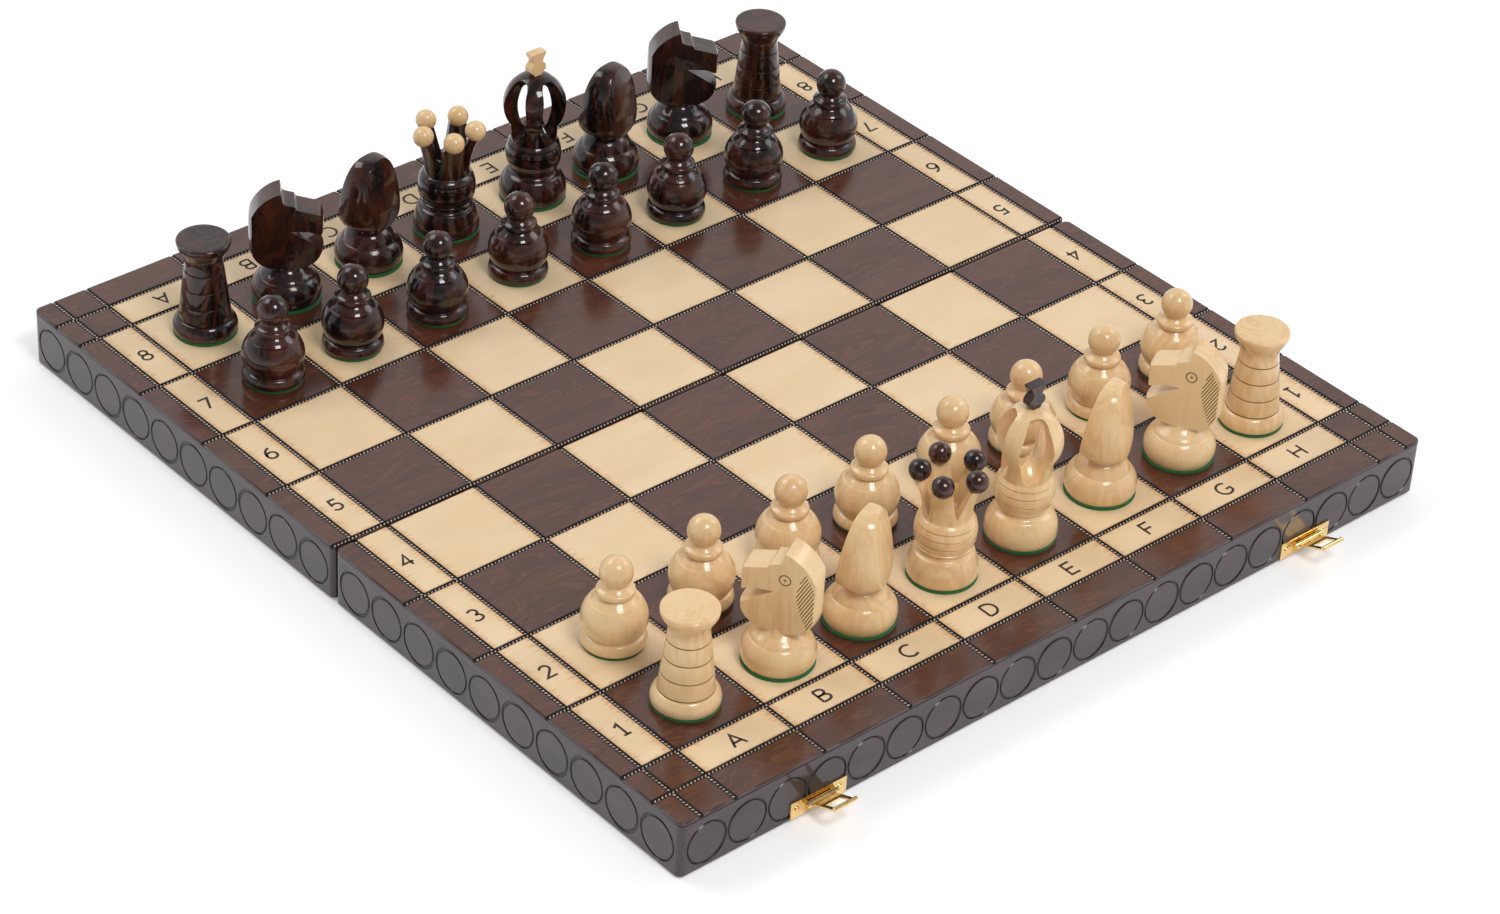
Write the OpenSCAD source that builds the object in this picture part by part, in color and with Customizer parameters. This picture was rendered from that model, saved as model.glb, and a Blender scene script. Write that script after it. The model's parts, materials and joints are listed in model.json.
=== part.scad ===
// Folding chess set: a hinged wooden case whose closed halves open flat into the
// playing board, with two brass latches and a full set of 32 turned wooden pieces.
//
// Frame: origin on the fold line at the middle of the board's underside, +X along
// the lettered files a to h, +Y along the numbered ranks 1 to 8, +Z up.

/* [Board] */
// Length of the board along the files' letters (X)
board_x = 430; // [424:1:450]
// Length of the open board along the ranks' numbers (Y)
board_y = 450; // [444:1:470]
// Thickness of the open board
board_h = 27; // [24:1:34]
// Thickness of the playing panels
panel_t = 4; // [3:0.5:5]
// Thickness of the rails round each half
rail_t = 9; // [8:0.5:10]
// Gap between the two halves at the fold
fold_gap = 1; // [1:0.1:1.4]
// Radius of each half's upright corners
corner_r = 3; // [2:0.5:4]

/* [Squares] */
// Side of one square
square_side = 46.8; // [46:0.1:47.2]
// Distance from the fold line to the first squares
fold_zone = 1.2; // [1:0.1:2]
// Width of the number strips
strip_x = 17.6; // [16:0.1:18]
// Width of the letter strips
strip_y = 18.6; // [17:0.1:19]
// Width of the pressed grooves between squares
groove_w = 2.2; // [1.6:0.1:2.6]
// Depth of the pressed grooves
groove_d = 0.5; // [0.3:0.1:0.8]

/* [Hinges] */
// Distance of each hinge from the middle of the fold
hinge_x = 130; // [90:1:160]
// Length of a hinge
hinge_len = 36; // [30:1:44]
// Height of a hinge leaf
hinge_leaf_h = 15; // [12:1:18]
// Thickness of a hinge leaf
hinge_leaf_t = 0.6; // [0.5:0.1:0.8]
// Outer radius of the hinge barrel
hinge_r = 1.1; // [1.1:0.05:1.2]
// Radius of the hinge pin
hinge_pin_r = 0.5; // [0.4:0.05:0.55]

/* [Latches] */
// Distance of each latch from the middle of the front
latch_x = 142.5; // [120:0.5:160]
// Width of a latch plate
latch_plate_w = 30; // [28:1:34]
// Height of a latch plate
latch_plate_h = 8.4; // [8:0.1:9]
// Thickness of the latch brass
latch_t = 0.8; // [0.6:0.1:0.9]
// Width of the tongue
tongue_w = 12; // [10:0.5:12]
// Reach of the tongue from its pin
tongue_len = 15; // [14:0.5:16]
// Angle of the tongue above level, as it stands open
tongue_tilt = 22; // [0:1:40]

/* [Pieces] */
// Thickness of the felt pad under a piece
felt_t = 1.5; // [1:0.1:2]
// Thickness of the glue between a piece and its felt
glue_t = 0.02; // [0.01:0.01:0.1]
// Radius of a pawn's foot
pawn_r = 14.1; // [13:0.1:15]
// Radius of a rook's foot
rook_r = 14.8; // [14:0.1:15.5]
// Radius of the feet of the knights, bishops and kings
foot_r = 16; // [15:0.1:16.5]
// Radius of a queen's foot
queen_r = 15.6; // [15:0.1:16.5]
// Thickness of a knight's head between its two sawn sides
knight_t = 13; // [11:0.5:15]
// Distance from a bishop's axis to its near flat, half way up
bishop_flat = 9.5; // [8.5:0.1:11]
// Distance from a bishop's axis to its far flat, half way up
bishop_far_flat = 5.4; // [5:0.1:7]
// Radius of the queens' crown balls
ball_r = 4.9; // [4.4:0.1:5]

/* [Hidden] */
$fn = 64;
FILES = ["a", "b", "c", "d", "e", "f", "g", "h"];
BACK_ROW = ["rook", "knight", "bishop", "queen", "king", "bishop", "knight", "rook"];
COLOURS = ["white", "black"];
BOARD_NODES = [
    "front_panel", "front_rail_left", "front_rail_right", "front_rail_outer", "front_rail_fold",
    "rear_panel", "rear_rail_left", "rear_rail_right", "rear_rail_outer", "rear_rail_fold",
    "hinge_leaves_front", "hinge_leaves_rear", "hinge_pins", "hinge_screws_front",
    "hinge_screws_rear", "latch_plate_left", "latch_plate_right", "latch_tongue_left",
    "latch_tongue_right", "latch_pins", "latch_nails", "catch_plates", "catch_nails"
];
PIECE_NODES = [for (c = COLOURS) each concat(
    [for (i = [0:7]) back_name(c, i)],
    [for (i = [0:7]) pawn_name(c, i)],
    [str(c, "_queen_balls"), str(c, "_king_finial")]
)];

FRONT = -1;
REAR = 1;
LEFT = 0;
OUTER = 1;
RIGHT = 2;
FOLD = 3;
half_x = board_x / 2;
half_y = board_y / 2;
fold_y = fold_gap / 2;
rail_h = board_h - panel_t;

// lines between the files, the strips and the borders, to the right of the middle
line_x = concat([for (i = [0:4]) i * square_side], [4 * square_side + strip_x]);
// lines between the ranks, the strip and the border, away from the fold
line_y = concat(
    [for (i = [1:4]) fold_zone + i * square_side],
    [fold_zone + 4 * square_side + strip_y]
);

hinge_bore_clearance = 0.05;
hinge_knuckle_gap = 0.3;
hinge_leaf_z = 1.6;
hinge_notch = 0.5;
screw_r = 0.9;
screw_head_r = 1.8;
screw_len = 7;
screw_x = 0.32 * hinge_len;
screw_z = 9.5;

latch_z = 0.3;
latch_axis_y = half_y + latch_t + 1.7;
latch_axis_z = 5.6;
latch_barrel_r = 1.5;
latch_pin_r = 0.6;
latch_bore_clearance = 0.05;
latch_barrel_len = 17;
latch_side_gap = 0.2;
tongue_slot = [tongue_w - 3.6, 5];
tongue_slot_from = tongue_len - 7.5;
tongue_lip_r = 1;
nub = [5.6, 2.6, 2.6];
nub_z = tongue_slot_from + tongue_slot[1] / 2 - latch_axis_z;
nail_r = 0.7;
nail_head_r = 1.3;
nail_head_h = 0.4;
nail_len = 5;
nail_x = 11.5;
nail_z = latch_z + latch_plate_h / 2;

light_wood = [0.87, 0.72, 0.50];
dark_wood = [0.27, 0.13, 0.09];
case_wood = [0.36, 0.25, 0.23];
brass = [0.83, 0.66, 0.32];
green_felt = [0.05, 0.32, 0.17];
// which way each colour's knights look, and the near flats of its bishops
knight_turn = [119, -34];
bishop_turn = [302, 290];
// how far each colour's king crown and queen crown are turned
king_turn = [59.4, 5.5];
queen_turn = [68, 30];
// how far each piece stands off the middle of its square, as set out by hand
back_nudge = [
    [[0, -2], [1, -4], [-1, -4], [1, -2], [0, -2], [3, 0], [3, -2], [1, -3]],
    [[1, 1], [-1, 1], [0, 3], [-1, 4], [2, 2], [-1, 1], [1, 4], [0, 0]]
];
pawn_nudge = [
    [[2, -1], [2, -1], [2, -2], [1, -1], [2, -1], [0, 0], [0, -1], [0, 0]],
    [[3, -1], [-1, -2], [-1, -3], [2, 1], [2, -2], [0, -3], [2, -2], [3, -2]]
];

function back_name(colour, i) = (i == 3 || i == 4)
    ? str(colour, "_", BACK_ROW[i])
    : str(colour, "_", BACK_ROW[i], "_", FILES[i]);
function pawn_name(colour, i) = str(colour, "_pawn_", FILES[i]);
function file_x(i) = (i - 3.5) * square_side;
function rank_y(r) = r < 4 ? -(fold_zone + (3.5 - r) * square_side) : fold_zone + (r - 3.5) * square_side;
// points on an oval from angle a0 to a1
function oval(c, rx, ry, a0, a1, n = 8) =
    [for (i = [0:n]) let (a = a0 + (a1 - a0) * i / n) [c[0] + rx * cos(a), c[1] + ry * sin(a)]];
function arc(c, r, a0, a1, n = 8) = oval(c, r, r, a0, a1, n);

// ---------- the case ----------

// outline of one half, with four rounded corners
module half_outline(side) {
    w = board_x;
    d = half_y - fold_y;
    translate([0, side * (fold_y + d / 2)]) {
        square([w - 2 * corner_r, d], center = true);
        square([w, d - 2 * corner_r], center = true);
        for (sx = [-1, 1])
            for (sy = [-1, 1])
                translate([sx * (w / 2 - corner_r), sy * (d / 2 - corner_r)]) circle(corner_r);
    }
}

// the pressed lines on one half's playing face
module grooves(side) {
    translate([0, 0, board_h - groove_d]) {
        for (x = line_x)
            for (s = x == 0 ? [1] : [-1, 1])
                translate([s * x - groove_w / 2, side > 0 ? 0 : -half_y - 1, 0])
                    cube([groove_w, half_y + 1, 2]);
        for (y = line_y)
            translate([-half_x - 1, side * y - groove_w / 2, 0])
                cube([board_x + 2, groove_w, 2]);
    }
}

module panel(side) {
    color(case_wood)
    difference() {
        translate([0, 0, rail_h]) linear_extrude(panel_t) half_outline(side);
        grooves(side);
    }
}

// one of a half's four rails, mitred where it meets its neighbours
module rail_blank(side, i) {
    x_in = half_x - rail_t;
    y_in = [fold_y + rail_t, half_y - rail_t];
    outer = [[-half_x, fold_y], [-half_x, half_y], [half_x, half_y], [half_x, fold_y]];
    inner = [[-x_in, y_in[0]], [-x_in, y_in[1]], [x_in, y_in[1]], [x_in, y_in[0]]];
    n = (i + 1) % 4;
    linear_extrude(rail_h)
    intersection() {
        half_outline(side);
        mirror([0, side > 0 ? 0 : 1]) polygon([outer[i], outer[n], inner[n], inner[i]]);
    }
}

module side_rail(side, i) {
    color(case_wood) rail_blank(side, i);
}

// the rail that carries the latches or their catches, drilled for their nails
module outer_rail(side) {
    color(case_wood)
    difference() {
        rail_blank(side, OUTER);
        for (s = [-1, 1])
            translate([s * latch_x, 0, 0]) nail_pair(side, nail_r);
    }
}

// the rail along the fold, let in for the hinge leaves and drilled for their screws
module fold_rail(side) {
    leaf_side = [hinge_len, 1 + hinge_leaf_t, hinge_leaf_h - hinge_leaf_z];
    notch = [hinge_len + 2 * hinge_notch, 2 * (hinge_r + hinge_notch + 0.4), hinge_leaf_z + 1];
    color(case_wood)
    difference() {
        rail_blank(side, FOLD);
        for (s = [-1, 1])
            translate([s * hinge_x, 0, 0]) {
                translate([-leaf_side[0] / 2, side > 0 ? fold_y - 1 : -fold_y - hinge_leaf_t, hinge_leaf_z])
                    cube(leaf_side);
                translate([-notch[0] / 2, -notch[1] / 2, -1]) cube(notch);
                screw_pair(side, screw_r, screw_r);
            }
    }
}

// ---------- hinges ----------

// one hinge leaf with its knuckles: the front leaf has the two outer ones
module hinge_leaf(side) {
    third = hinge_len / 3;
    spans = side == FRONT
        ? [[-hinge_len / 2, third - hinge_knuckle_gap / 2],
            [third / 2 + hinge_knuckle_gap / 2, third - hinge_knuckle_gap / 2]]
        : [[-third / 2 + hinge_knuckle_gap / 2, third - hinge_knuckle_gap]];
    bore = side == FRONT ? hinge_pin_r : hinge_pin_r + hinge_bore_clearance;
    leaf_y = side > 0 ? fold_y : -fold_y - hinge_leaf_t;
    difference() {
        union() {
            translate([-hinge_len / 2, leaf_y, hinge_leaf_z])
                cube([hinge_len, hinge_leaf_t, hinge_leaf_h - hinge_leaf_z]);
            for (s = spans)
                translate([s[0], 0, 0]) {
                    rotate([0, 90, 0]) cylinder(r = hinge_r, h = s[1]);
                    translate([0, leaf_y, 0]) cube([s[1], hinge_leaf_t, hinge_leaf_z + 1]);
                }
        }
        translate([-hinge_len, 0, 0]) rotate([0, 90, 0]) cylinder(r = bore, h = 2 * hinge_len);
        screw_pair(side, screw_r, screw_head_r);
    }
}

// a countersunk screw along Y, its head flush with the leaf
module screw(shank_r, head_r) {
    rotate([-90, 0, 0]) {
        cylinder(r = shank_r, h = screw_len);
        cylinder(r1 = head_r, r2 = shank_r, h = hinge_leaf_t);
    }
}

module screw_pair(side, shank_r, head_r) {
    for (s = [-1, 1])
        translate([s * screw_x, side * fold_y, screw_z])
            mirror([0, side > 0 ? 0 : 1, 0]) screw(shank_r, head_r);
}

module hinge_leaves(side) {
    color(brass)
    for (s = [-1, 1])
        translate([s * hinge_x, 0, 0]) hinge_leaf(side);
}

module hinge_pins() {
    color(brass)
    for (s = [-1, 1])
        translate([s * hinge_x - hinge_len / 2, 0, 0])
            rotate([0, 90, 0]) cylinder(r = hinge_pin_r, h = hinge_len);
}

module hinge_screws(side) {
    color(brass)
    for (s = [-1, 1])
        translate([s * hinge_x, 0, 0]) screw_pair(side, screw_r, screw_head_r);
}

// ---------- latches ----------

// two nail shanks or holes along Y at a latch's middle, on the front or the rear face
module nail_pair(side, r) {
    for (s = [-1, 1])
        translate([s * nail_x, side * (half_y + latch_t), nail_z])
            rotate([side > 0 ? 90 : -90, 0, 0]) cylinder(r = r, h = nail_len);
}

module nails(side) {
    color(brass)
    for (x = [-latch_x, latch_x])
        translate([x, 0, 0]) {
            nail_pair(side, nail_r);
            for (s = [-1, 1])
                translate([s * nail_x, side * (half_y + latch_t), nail_z])
                    rotate([side > 0 ? -90 : 90, 0, 0]) cylinder(r = nail_head_r, h = nail_head_h);
        }
}

// a flat brass plate on the front or rear face
module face_plate(side) {
    translate([-latch_plate_w / 2, side > 0 ? half_y : -half_y - latch_t, latch_z])
        cube([latch_plate_w, latch_t, latch_plate_h]);
}

module latch_plate(x) {
    knuckle = (latch_barrel_len - tongue_w) / 2 - latch_side_gap;
    color(brass)
    translate([x, 0, 0])
    difference() {
        union() {
            face_plate(FRONT);
            for (s = [-1, 1])
                translate([s * (latch_barrel_len - knuckle) / 2, -latch_axis_y, latch_axis_z]) {
                    rotate([0, 90, 0]) cylinder(r = latch_barrel_r, h = knuckle, center = true);
                    translate([-knuckle / 2, 0, -latch_barrel_r / 2])
                        cube([knuckle, latch_axis_y - half_y - latch_t / 2, latch_barrel_r]);
                }
        }
        translate([0, -latch_axis_y, latch_axis_z])
            rotate([0, 90, 0]) cylinder(r = latch_pin_r, h = latch_plate_w, center = true);
        nail_pair(FRONT, nail_r);
    }
}

module latch_tongue(x) {
    color(brass)
    translate([x, -latch_axis_y, latch_axis_z])
    rotate([-tongue_tilt, 0, 0])
    difference() {
        union() {
            rotate([0, 90, 0]) cylinder(r = latch_barrel_r, h = tongue_w, center = true);
            translate([-tongue_w / 2, -tongue_len, -latch_t / 2]) cube([tongue_w, tongue_len, latch_t]);
            translate([0, -tongue_len, tongue_lip_r - latch_t / 2])
                rotate([0, 90, 0]) cylinder(r = tongue_lip_r, h = tongue_w, center = true);
        }
        rotate([0, 90, 0])
            cylinder(r = latch_pin_r + latch_bore_clearance, h = tongue_w + 1, center = true);
        translate([-tongue_slot[0] / 2, -tongue_slot_from - tongue_slot[1], -2])
            cube([tongue_slot[0], tongue_slot[1], 4]);
    }
}

module latch_pins() {
    color(brass)
    for (s = [-1, 1])
        translate([s * latch_x, -latch_axis_y, latch_axis_z])
            rotate([0, 90, 0]) cylinder(r = latch_pin_r, h = latch_barrel_len, center = true);
}

// the rear half's plates, each with a nub that the closed tongue drops over
module catch_plates() {
    color(brass)
    for (s = [-1, 1])
        translate([s * latch_x, 0, 0])
        difference() {
            union() {
                face_plate(REAR);
                translate([-nub[0] / 2, half_y + latch_t / 2, nub_z - nub[1] / 2])
                    cube([nub[0], nub[2] + latch_t / 2, nub[1]]);
            }
            nail_pair(REAR, nail_r);
        }
}

// ---------- pieces ----------

module felt(r) {
    color(green_felt) cylinder(r = r, h = felt_t - glue_t);
}

module turned(colour, profile) {
    color(colour) rotate_extrude() polygon(profile);
}

module pawn(colour) {
    felt(pawn_r - 0.4);
    turned(colour, concat(
        [[0, felt_t], [pawn_r - 0.3, felt_t], [pawn_r, 2], [13.9, 4], [13.1, 5.8], [12, 6.6]],
        oval([0, 13.6], pawn_r, 13, -32, 40, 10),
        [[9.6, 22.2], [7.4, 24.2], [6.6, 25.1], [8.2, 25.8], [8.2, 27.8], [6.7, 28.6], [5.4, 30]],
        arc([0, 35.6], 7.1, -43, 90, 10)
    ));
}

module rook(colour) {
    ring_z = [8.4, 16.6, 24.9, 33.1];
    felt(rook_r - 0.2);
    color(colour)
    difference() {
        rotate_extrude() polygon(concat(
            [[0, felt_t], [rook_r - 0.5, felt_t], [rook_r, 3.2]],
            oval([11.4, 4.4], rook_r - 11.4, 4, 0, 78, 5),
            [[11.9, 9.2], [8.6, 37.5], [9.2, 40.4], [10.9, 43.4], [12.2, 45.2], [12.3, 48], [0, 48.4]]
        ));
        for (z = ring_z) {
            r = 11.9 - (z - 9.2) * 3.3 / 28.3;
            translate([0, 0, z]) rotate_extrude() translate([r + 0.3, 0]) circle(0.6, $fn = 24);
        }
    }
}

// the rounded foot that knights and bishops stand on, without its neck
domed_foot = concat(
    [[0, felt_t], [foot_r - 1, felt_t]],
    oval([5, 5.6], foot_r - 5, 10.1, -21, 46, 8),
    [[12.2, 13]]
);

// one of a bishop's sawn flats, leaning in towards the top
module bishop_cut(distance, lean) {
    translate([distance, 0, 30])
        rotate([0, -lean, 0]) translate([0, -20, -14]) cube([20, 40, 50]);
}

module bishop(colour, turn) {
    girth_r = 15.1;
    girth_z = 30.1;
    tip_h = 25.8;
    felt(foot_r - 0.2);
    turned(colour, concat(domed_foot, [[11.6, 15], [10.2, 17.5], [8.4, 19.2], [8, 20.3], [0, 20.3]]));
    color(colour)
    difference() {
        rotate_extrude() polygon(concat(
            [[0, 19.4], [6.5, 19.4], [10.2, 21.2]],
            oval([11.8, girth_z], girth_r - 11.8, 7.2, -76, 0, 5),
            [for (i = [1:12]) let (a = 7.5 * i) [girth_r * pow(cos(a), 0.68), girth_z + tip_h * sin(a)]]
        ));
        rotate([0, 0, turn]) bishop_cut(bishop_flat, 9.8);
        rotate([0, 0, turn + 168]) bishop_cut(bishop_far_flat, 7.6);
    }
}

// side view of a knight's head: the muzzle points to +X
knight_side = concat(
    [[-9.2, 18.9], [-14.4, 22], [-16.2, 25]],
    [[-16.6, 28], [-16.6, 41], [-15.2, 47.4], [-12.7, 51.6], [-9.3, 54.9], [-5.6, 57]],
    [[-2.2, 58], [-1.2, 52.6], [4, 51.2], [4.8, 49.6], [15.8, 46.4]],
    [[16.2, 42.4], [15.3, 36.4], [11, 37.9], [2, 38.3]],
    [[16, 28.9], [16.8, 27.2], [14.8, 22.8], [9.2, 18.9]]
);

module knight(colour, turn) {
    felt(foot_r - 0.2);
    turned(colour, concat(domed_foot, [[11.2, 14.5], [8.5, 16.4], [6.9, 18], [6.6, 19.6], [0, 19.6]]));
    color(colour)
    rotate([0, 0, turn])
    intersection() {
        rotate([90, 0, 0]) linear_extrude(knight_t, center = true) polygon(knight_side);
        rotate_extrude()
            polygon([[0, 17], [6.4, 18.4], [10.8, 19.6], [14.3, 22], [16.9, 25.8], [16.9, 65], [0, 65]]);
    }
}

// the collar of three beads that the royal pieces share
function collar(z0, z1, r0, r_mid, r1) = concat(
    [[r0, z0]],
    [for (i = [0:2]) let (z = z0 + (z1 - z0) * (i + 1) / 4, r = r_mid - 0.25 * abs(i - 1))
        each [[r, z - 0.5], [r - 0.5, z], [r, z + 0.5]]],
    [[r1, z1]]
);

queen_ring_r = 12.9;
queen_ball_z = 53;
module queen_balls(colour, turn) {
    color(colour)
    for (i = [0:4])
        rotate([0, 0, turn + i * 72]) translate([queen_ring_r, 0, queen_ball_z]) sphere(ball_r);
}

module queen(colour, turn) {
    cup_z = 30.6;
    tip_z = 49.6;
    cut_z = 34.5;
    felt(queen_r - 0.1);
    color(colour)
    difference() {
        rotate_extrude() polygon(concat(
            [[0, felt_t], [queen_r - 0.2, felt_t], [queen_r, 3], [15.2, 7.4], [13.9, 11.4], [13.1, 13.2]],
            [[11.8, 13.8], [11.2, 14.8], [11.3, 15.8]],
            collar(16.8, 29.6, 12.2, 13.4, 11.3),
            [[10.3, cup_z], [queen_ring_r + 1.8, tip_z], [queen_ring_r - 1.8, tip_z], [0, 31.6]]
        ));
        for (i = [0:4])
            rotate([0, 0, turn + (i + 0.5) * 72])
                rotate([90, 0, 90]) linear_extrude(30)
                    polygon([[-0.5, cut_z], [-4.2, tip_z + 1], [4.2, tip_z + 1], [0.5, cut_z]]);
        queen_balls(colour, turn);
    }
}

king_top_z = 66.4;
// a tapering cut through the king's crown, as a cutter wheel leaves it
module crown_cut() {
    wheel_r = 18;
    translate([16.3, 0, 49])
        rotate([90, 0, 0])
            rotate_extrude()
                polygon([[0, -8.6], [15.8, -4.1], [17.4, -3], [wheel_r, -1.2],
                    [wheel_r, 1.2], [17.4, 3], [15.8, 4.1], [0, 8.6]]);
}

module king(colour, turn) {
    felt(foot_r - 0.2);
    color(colour)
    difference() {
        rotate_extrude() polygon(concat(
            [[0, felt_t], [foot_r - 0.6, felt_t]],
            oval([4, 5.5], foot_r - 4, 9, -26, 60, 8),
            [[9.9, 14.4], [9.7, 15.8]],
            collar(17, 31.4, 11.6, 12.9, 11),
            [[10.7, 32]],
            oval([0, 50], 14.8, 16.4, -44, 78, 12),
            [[0, king_top_z]]
        ));
        for (i = [0:3])
            rotate([0, 0, turn + 90 * i]) crown_cut();
    }
}

// the stepped cross on a king, facing along Y
module king_finial(colour) {
    half = [[2, king_top_z], [2.6, 67.4], [4.4, 68.8], [4.4, 71.4], [2.4, 73], [4.5, 78]];
    color(colour)
    rotate([90, 0, 0])
        linear_extrude(4.6, center = true)
            polygon(concat(half, [for (i = [5:-1:0]) [-half[i][0], half[i][1]]]));
}

module on_square(file, rank, nudge) {
    translate([file_x(file) + nudge[0], rank_y(rank) + nudge[1], board_h]) children();
}

module back_piece(i, own, turn_index) {
    kind = BACK_ROW[i];
    if (kind == "rook") rook(own);
    if (kind == "knight") knight(own, knight_turn[turn_index]);
    if (kind == "bishop") bishop(own, bishop_turn[turn_index]);
    if (kind == "queen") queen(own, queen_turn[turn_index]);
    if (kind == "king") king(own, king_turn[turn_index]);
}

// ---------- nodes ----------

panel(FRONT);  // front_panel
side_rail(FRONT, LEFT);  // front_rail_left
side_rail(FRONT, RIGHT);  // front_rail_right
outer_rail(FRONT);  // front_rail_outer
fold_rail(FRONT);  // front_rail_fold
panel(REAR);  // rear_panel
side_rail(REAR, LEFT);  // rear_rail_left
side_rail(REAR, RIGHT);  // rear_rail_right
outer_rail(REAR);  // rear_rail_outer
fold_rail(REAR);  // rear_rail_fold
hinge_leaves(FRONT);  // hinge_leaves_front
hinge_leaves(REAR);  // hinge_leaves_rear
hinge_pins();
hinge_screws(FRONT);  // hinge_screws_front
hinge_screws(REAR);  // hinge_screws_rear
latch_plate(-latch_x);  // latch_plate_left
latch_plate(latch_x);  // latch_plate_right
latch_tongue(-latch_x);  // latch_tongue_left
latch_tongue(latch_x);  // latch_tongue_right
latch_pins();
nails(FRONT);  // latch_nails
catch_plates();
nails(REAR);  // catch_nails
for (c = [0, 1]) {
    own = c == 0 ? light_wood : dark_wood;
    other = c == 0 ? dark_wood : light_wood;
    back_rank = c == 0 ? 0 : 7;
    pawn_rank = c == 0 ? 1 : 6;
    for (i = [0:7]) {
        on_square(i, back_rank, back_nudge[c][i]) back_piece(i, own, c);
        on_square(i, pawn_rank, pawn_nudge[c][i]) pawn(own);
    }
    on_square(3, back_rank, back_nudge[c][3]) queen_balls(other, queen_turn[c]);
    on_square(4, back_rank, back_nudge[c][4]) king_finial(other);
}
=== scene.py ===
"""The looks of a folding wooden chess set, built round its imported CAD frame.

Helpers work in millimetres in the frame's own axes and turn them into metres when a mesh is made.
A chess piece is modelled about its own axis with its felt's underside at zero height.
"""

import json
import math

import bmesh
import bpy
import numpy as np
from mathutils import Matrix, Vector

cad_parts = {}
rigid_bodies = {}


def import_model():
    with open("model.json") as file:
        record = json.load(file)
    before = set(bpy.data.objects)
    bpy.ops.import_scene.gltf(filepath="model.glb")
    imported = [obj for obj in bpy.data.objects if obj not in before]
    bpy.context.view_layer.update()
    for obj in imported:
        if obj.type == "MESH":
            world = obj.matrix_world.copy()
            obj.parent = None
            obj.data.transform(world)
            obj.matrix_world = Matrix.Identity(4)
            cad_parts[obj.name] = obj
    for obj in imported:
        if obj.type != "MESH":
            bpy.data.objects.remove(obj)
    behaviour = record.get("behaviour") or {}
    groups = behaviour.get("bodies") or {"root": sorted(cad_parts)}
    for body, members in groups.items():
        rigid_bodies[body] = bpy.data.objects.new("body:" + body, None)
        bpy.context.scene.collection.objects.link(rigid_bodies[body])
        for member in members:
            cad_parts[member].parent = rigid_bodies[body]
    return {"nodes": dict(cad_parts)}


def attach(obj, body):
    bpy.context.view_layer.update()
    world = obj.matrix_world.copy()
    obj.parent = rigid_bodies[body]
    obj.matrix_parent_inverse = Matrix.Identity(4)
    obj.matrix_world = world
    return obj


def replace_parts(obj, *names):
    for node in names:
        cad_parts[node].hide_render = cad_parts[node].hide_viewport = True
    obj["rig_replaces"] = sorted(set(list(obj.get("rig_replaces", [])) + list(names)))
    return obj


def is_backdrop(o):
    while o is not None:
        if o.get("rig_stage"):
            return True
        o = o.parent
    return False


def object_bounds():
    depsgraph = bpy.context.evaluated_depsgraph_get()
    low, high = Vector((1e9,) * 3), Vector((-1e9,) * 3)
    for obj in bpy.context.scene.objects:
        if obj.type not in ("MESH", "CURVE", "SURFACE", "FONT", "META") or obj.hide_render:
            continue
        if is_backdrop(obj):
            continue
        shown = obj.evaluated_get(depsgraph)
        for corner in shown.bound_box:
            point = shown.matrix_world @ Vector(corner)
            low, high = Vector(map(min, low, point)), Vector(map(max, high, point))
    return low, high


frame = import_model()
CAD_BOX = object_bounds()

# ---------- sizes ----------

MM = 0.001
FRONT, REAR = -1, 1
HALF_X, HALF_Y, BOARD_H = 215.0, 225.0, 27.0
PANEL_T, RAIL_T, FOLD_Y, CORNER_R = 4.0, 9.0, 0.5, 3.0
RAIL_H = BOARD_H - PANEL_T
SQUARE, FOLD_ZONE, STRIP_X, STRIP_Y = 46.8, 1.2, 17.6, 18.6
GROOVE_W, GROOVE_D = 2.2, 0.5
FOLD_ROPE_Y = 1.75
FILES = "abcdefgh"
BACK_ROW = ("rook", "knight", "bishop", "queen", "king", "bishop", "knight", "rook")
FELT_T = 1.5

# which way each colour's carved pieces are turned, in degrees from +X
TURN = {
    "white": {"knight": 119, "bishop": 302, "queen": 68, "king": 59.4},
    "black": {"knight": -34, "bishop": 290, "queen": 30, "king": 5.5},
}
# how far each piece stands off the middle of its square, by rank and then by file
NUDGE = {
    0: [(0, -2), (1, -4), (-1, -4), (1, -2), (0, -2), (3, 0), (3, -2), (1, -3)],
    1: [(2, -1), (2, -1), (2, -2), (1, -1), (2, -1), (0, 0), (0, -1), (0, 0)],
    6: [(3, -1), (-1, -2), (-1, -3), (2, 1), (2, -2), (0, -3), (2, -2), (3, -2)],
    7: [(1, 1), (-1, 1), (0, 3), (-1, 4), (2, 2), (-1, 1), (1, 4), (0, 0)],
}


# ---------- node helpers for materials ----------

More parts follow.
